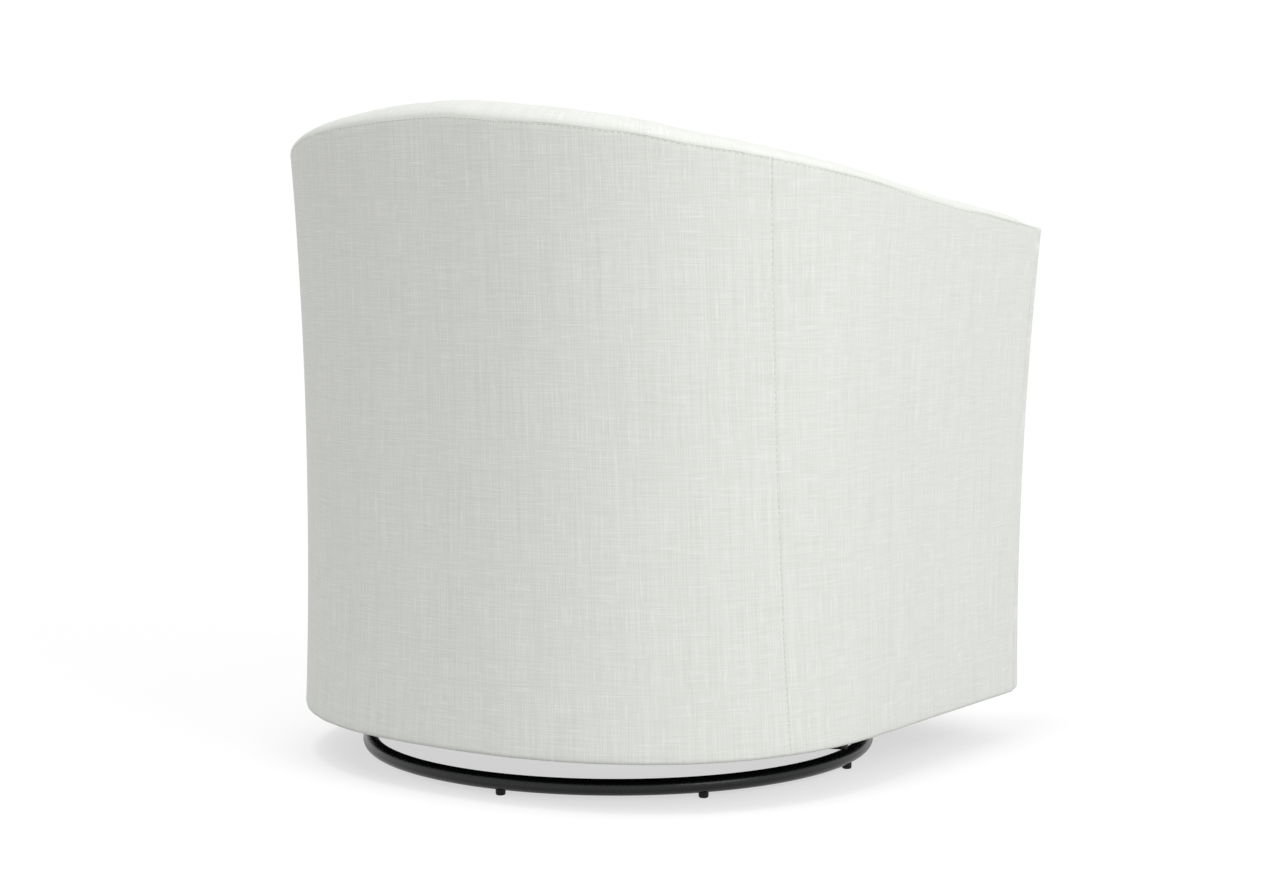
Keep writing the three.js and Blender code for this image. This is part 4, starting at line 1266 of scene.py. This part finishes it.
@dataclass
class DustCover:
    """The thin black cloth stapled under the frame and cut out round the swivel plate."""

    wardrobe: Wardrobe
    grid_step: float = 16 * MM
    sag: float = 2.6 * MM
    sag_reach: float = 45 * MM
    half_width: float = 362 * MM
    back_depth: float = 339 * MM
    held_margin: float = 65 * MM
    rail_offset: float = 90 * MM
    rail_half_width: float = 30 * MM
    # Faces whose normal rises more than this are the cloth's upper side, which gives its area.
    upward: float = 0.9

    def __post_init__(self) -> None:
        """Measure the cloth and the plate that it is cut out round."""
        self.low, self.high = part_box("dust_cover")
        self.plate_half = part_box("swivel_upper_plate")[1].x

    def droop(self, x: float, y: float) -> float:
        """How far the cloth hangs below the frame at a place."""
        if y > 0:
            edge = self.back_depth * (1 - math.hypot(x / self.half_width, y / self.back_depth))
        else:
            edge = min(self.half_width - abs(x), y - self.low.y)
        rail = abs(abs(y) - self.rail_offset) - self.rail_half_width
        plate = max(abs(x), abs(y)) - self.plate_half
        free = min(edge - self.held_margin, rail, plate) / self.sag_reach
        return self.sag * eased(free)

    def build(self) -> None:
        """Copy the cloth's solid, cut it into small faces, and let it sag between its staples."""
        mesh = cad_copy("dust_cover")
        low, high = self.low, self.high
        area = sum(face.calc_area() for face in mesh.faces if face.normal.z > self.upward)
        for axis in (0, 1):
            across = Vector((1 - axis, axis, 0))
            steps = round((high[axis] - low[axis]) / self.grid_step)
            for place in even(low[axis], high[axis], steps)[1:-1]:
                everything = [*mesh.verts, *mesh.edges, *mesh.faces]
                bmesh.ops.bisect_plane(mesh, geom=everything, plane_co=across * place, plane_no=across)
        for vert in mesh.verts:
            vert.co.z -= self.droop(vert.co.x, vert.co.y)
        piece = self.wardrobe.dress(new_piece("dust_cloth", mesh), Body.SEAT, Slot.DUST_CLOTH,
                                    ["dust_cover"], HARD_ANGLE)


# Base


@dataclass
class RingBase:
    """The tubular ring on its glides, with the crossbars and the swivel that it carries."""

    wardrobe: Wardrobe
    ring_radius: float = 307 * MM
    tube_radius: float = 9.5 * MM
    ring_height: float = 15.5 * MM
    ring_segments: int = 192
    tube_segments: int = 28
    glide_radius: float = 5.75 * MM
    glide_sole: float = 3.8 * MM
    glide_segments: int = 32
    sole_edge: float = 1.2 * MM
    sole_points: int = 4
    bar_edge: float = 1 * MM
    plate_edge: float = 0.5 * MM
    pin_edge: float = 0.8 * MM
    edge_segments: int = 2

    def build_ring(self) -> None:
        """Spin the tube's section round the swivel axis."""
        mesh = bmesh.new()
        place = Matrix.Translation((self.ring_radius, 0, self.ring_height))
        upright = place @ Matrix.Rotation(math.pi / 2, 4, "X")
        bmesh.ops.create_circle(mesh, segments=self.tube_segments, radius=self.tube_radius,
                                matrix=upright)
        turn_round(mesh, self.ring_segments)
        self.wardrobe.dress(new_piece("ring_tube", mesh), Body.BASE, Slot.BASE_STEEL, ["base_ring"])

    def build_glide(self, node: str) -> None:
        """Turn one glide: a short nylon peg with a rounded sole."""
        low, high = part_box(node)
        centre = (low + high) / 2
        side = self.glide_radius - self.glide_sole
        top = self.ring_height - self.tube_radius + self.sole_edge
        profile = [(0.0, 0.0)]
        for rise, inward in quarter_turn(self.sole_points):
            profile.append((self.glide_radius - side * inward, 2 * self.sole_edge * rise))
        profile += [(self.glide_radius, top), (0.0, top)]
        mesh = bmesh.new()
        verts = [mesh.verts.new((radius, 0, z)) for radius, z in profile]
        for pair in zip(verts, verts[1:]):
            mesh.edges.new(pair)
        turn_round(mesh, self.glide_segments)
        bmesh.ops.translate(mesh, vec=(centre.x, centre.y, 0), verts=mesh.verts)
        self.wardrobe.dress(new_piece(f"foot_{node}", mesh), Body.BASE, Slot.GLIDE_PLASTIC, [node],
                            HARD_ANGLE)

    def soften(self, name: str, node: str, radius: float, body: Body, slot: Slot) -> None:
        """Build a CAD node again with slightly rounded edges.

        Args:
            name: The new piece's name.
            node: The CAD node.
            radius: How far the edges are rounded, in metres.
            body: The body that it rides on.
            slot: The record's slot.
        """
        mesh = cad_copy(node)
        merge_flat_faces(mesh)
        round_edges(mesh, radius, self.edge_segments)
        self.wardrobe.dress(new_piece(name, mesh), body, slot, [node], HARD_ANGLE)

    def build(self) -> None:
        """Build the ring and glides, and soften the edges of the pressed and sawn metal."""
        self.build_ring()
        for node in frame["nodes"]:
            if node.startswith("glide_"):
                self.build_glide(node)
        for end in ("rear", "front"):
            self.soften(f"bar_{end}", f"crossbar_{end}", self.bar_edge, Body.BASE, Slot.BASE_STEEL)
        self.soften("lower_plate", "swivel_lower_plate", self.plate_edge, Body.BASE, Slot.ZINC_STEEL)
        self.soften("upper_plate", "swivel_upper_plate", self.plate_edge, Body.SEAT, Slot.ZINC_STEEL)
        self.soften("pin", "king_pin", self.pin_edge, Body.BASE, Slot.ZINC_STEEL)


# Stage


@dataclass(frozen=True)
class SoftSun:
    """A distant lamp, with its strength and how wide it is in the sky.

    The shadow falls so far, per metre of height, to the picture's right and towards the camera.
    """

    name: str
    strength: float
    spread: float
    shadow_drift: tuple[float, float]


@dataclass
class Studio:
    """A pale floor that runs out to white, an even sky, two soft suns, a side lamp and the camera."""

    # The camera stands behind the chair, towards the sitter's right, at seat-back height.
    camera_distance: float = 3.076
    camera_height: float = 0.650
    camera_azimuth: float = math.radians(36)
    camera_pitch: float = math.radians(5.02)
    camera_yaw: float = math.radians(0.49)
    picture_width: int = 1279
    focal_pixels: float = 2500.0
    sensor_width: float = 36.0
    floor_half: float = 40.0
    floor_glow: float = 0.625
    floor_shade: float = 0.42
    floor_colour: float = 0.50
    world_light: float = 0.662
    suns: tuple[SoftSun, ...] = (
        SoftSun("overhead", 0.51, math.radians(13), (0.16, -0.12)),
        SoftSun("rear", 0.23, math.radians(22), (0.36, -0.42)),
    )
    side_strength: float = 53.0
    side_size: float = 2.6
    side_place: tuple[float, float, float] = (-3.55, 0.65, 2.1)
    side_aim: tuple[float, float, float] = (0, 0, 0.5)

    def bearing(self) -> tuple[float, float]:
        """How far the camera stands to the sitter's right and behind, at a distance of 1."""
        return math.sin(self.camera_azimuth), math.cos(self.camera_azimuth)

    def build_camera(self) -> None:
        """Place the camera and aim it."""
        data = bpy.data.cameras.new("camera")
        data.sensor_width = self.sensor_width
        data.lens = self.sensor_width * self.focal_pixels / self.picture_width
        camera = link_object("camera", data)
        side, back = self.bearing()
        away = self.camera_distance
        camera.location = (-away * side, away * back, self.camera_height)
        aim = Matrix.Rotation(-self.camera_yaw, 3, "Z") @ Vector((side, -back, 0))
        aim = aim * math.cos(self.camera_pitch) - Vector((0, 0, math.sin(self.camera_pitch)))
        camera.rotation_euler = aimed(aim)
        bpy.context.scene.camera = camera

    def seen_directly(self, tree: bpy.types.NodeTree) -> bpy.types.Node:
        """A node that is 1 for camera, glossy and transmission rays, and 0 for light on the object."""
        path = add_node(tree, "ShaderNodeLightPath").outputs
        rays = {0: path["Is Glossy Ray"], 1: path["Is Transmission Ray"]}
        mirrored = add_node(tree, "ShaderNodeMath", rays, operation="MAXIMUM")
        rays = {0: path["Is Camera Ray"], 1: mirrored}
        return add_node(tree, "ShaderNodeMath", rays, operation="MAXIMUM")

    def build_floor(self) -> None:
        """Lay the floor, which shows white where it is lit and keeps the object's shadow."""
        mesh = bmesh.new()
        bmesh.ops.create_grid(mesh, x_segments=1, y_segments=1, size=self.floor_half)
        floor = new_piece("floor", mesh)
        material, tree = new_material("white_floor")
        seen = self.seen_directly(tree)
        shown = add_node(tree, "ShaderNodeBsdfDiffuse", {"Color": (*[self.floor_shade] * 3, 1)})
        glow = add_node(tree, "ShaderNodeEmission", {"Strength": self.floor_glow})
        both = add_node(tree, "ShaderNodeAddShader", {0: shown, 1: glow})
        plain = add_node(tree, "ShaderNodeBsdfDiffuse", {"Color": (*[self.floor_colour] * 3, 1)})
        surface = add_node(tree, "ShaderNodeMixShader", {0: seen, 1: plain, 2: both})
        add_node(tree, "ShaderNodeOutputMaterial", {"Surface": surface})
        floor.data.materials.append(material)

    def build_world(self) -> None:
        """Light the object evenly from all round, and show white behind it."""
        world = bpy.data.worlds.new("studio")
        world.use_nodes = True
        tree = world.node_tree
        tree.nodes.clear()
        seen = self.seen_directly(tree)
        strength = add_node(tree, "ShaderNodeMapRange", {0: seen, 3: self.world_light, 4: 1.0})
        light = add_node(tree, "ShaderNodeBackground", {"Color": (1, 1, 1, 1), "Strength": strength})
        add_node(tree, "ShaderNodeOutputWorld", {"Surface": light})
        bpy.context.scene.world = world

    def build_lamps(self) -> None:
        """Hang the soft suns and the wide side lamp."""
        side, back = self.bearing()
        for sun in self.suns:
            data = bpy.data.lights.new(sun.name, "SUN")
            data.energy = sun.strength
            data.angle = sun.spread
            across, near = sun.shadow_drift
            drift = Vector((-back, -side, 0)) * across + Vector((-side, back, 0)) * near
            link_object(sun.name, data).rotation_euler = aimed(drift + Vector((0, 0, -1)))
        wide = bpy.data.lights.new("side", "AREA")
        wide.shape = "DISK"
        wide.size = self.side_size
        wide.energy = self.side_strength
        lamp = link_object("side", wide)
        lamp.location = self.side_place
        lamp.rotation_euler = aimed(Vector(self.side_aim) - lamp.location)

    def build(self) -> None:
        """Build the whole stage."""
        self.build_camera()
        self.build_floor()
        self.build_world()
        self.build_lamps()
        bpy.context.scene.view_settings.view_transform = "Standard"


def aimed(direction: Vector) -> Euler:
    """The turn that points a lamp or the camera along a direction."""
    return direction.to_track_quat("-Z", "Y").to_euler()


def main() -> None:
    """Build the stage and the chair."""
    logging.basicConfig(level=logging.INFO, format="%(message)s")
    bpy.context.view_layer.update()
    Studio().build()
    wardrobe = Wardrobe()
    wardrobe.dress_frame()
    barrel = Barrel(BarrelWall())
    RingBase(wardrobe).build()
    OutsideCovers(barrel, wardrobe).build()
    RimPad(barrel, wardrobe).build()
    InsidePads(barrel, wardrobe).build()
    FrontPieces(barrel, wardrobe).build()
    SeatDeck(wardrobe).build()
    SeatCushion(wardrobe).build()
    DustCover(wardrobe).build()


if __name__ == "__main__":
    main()
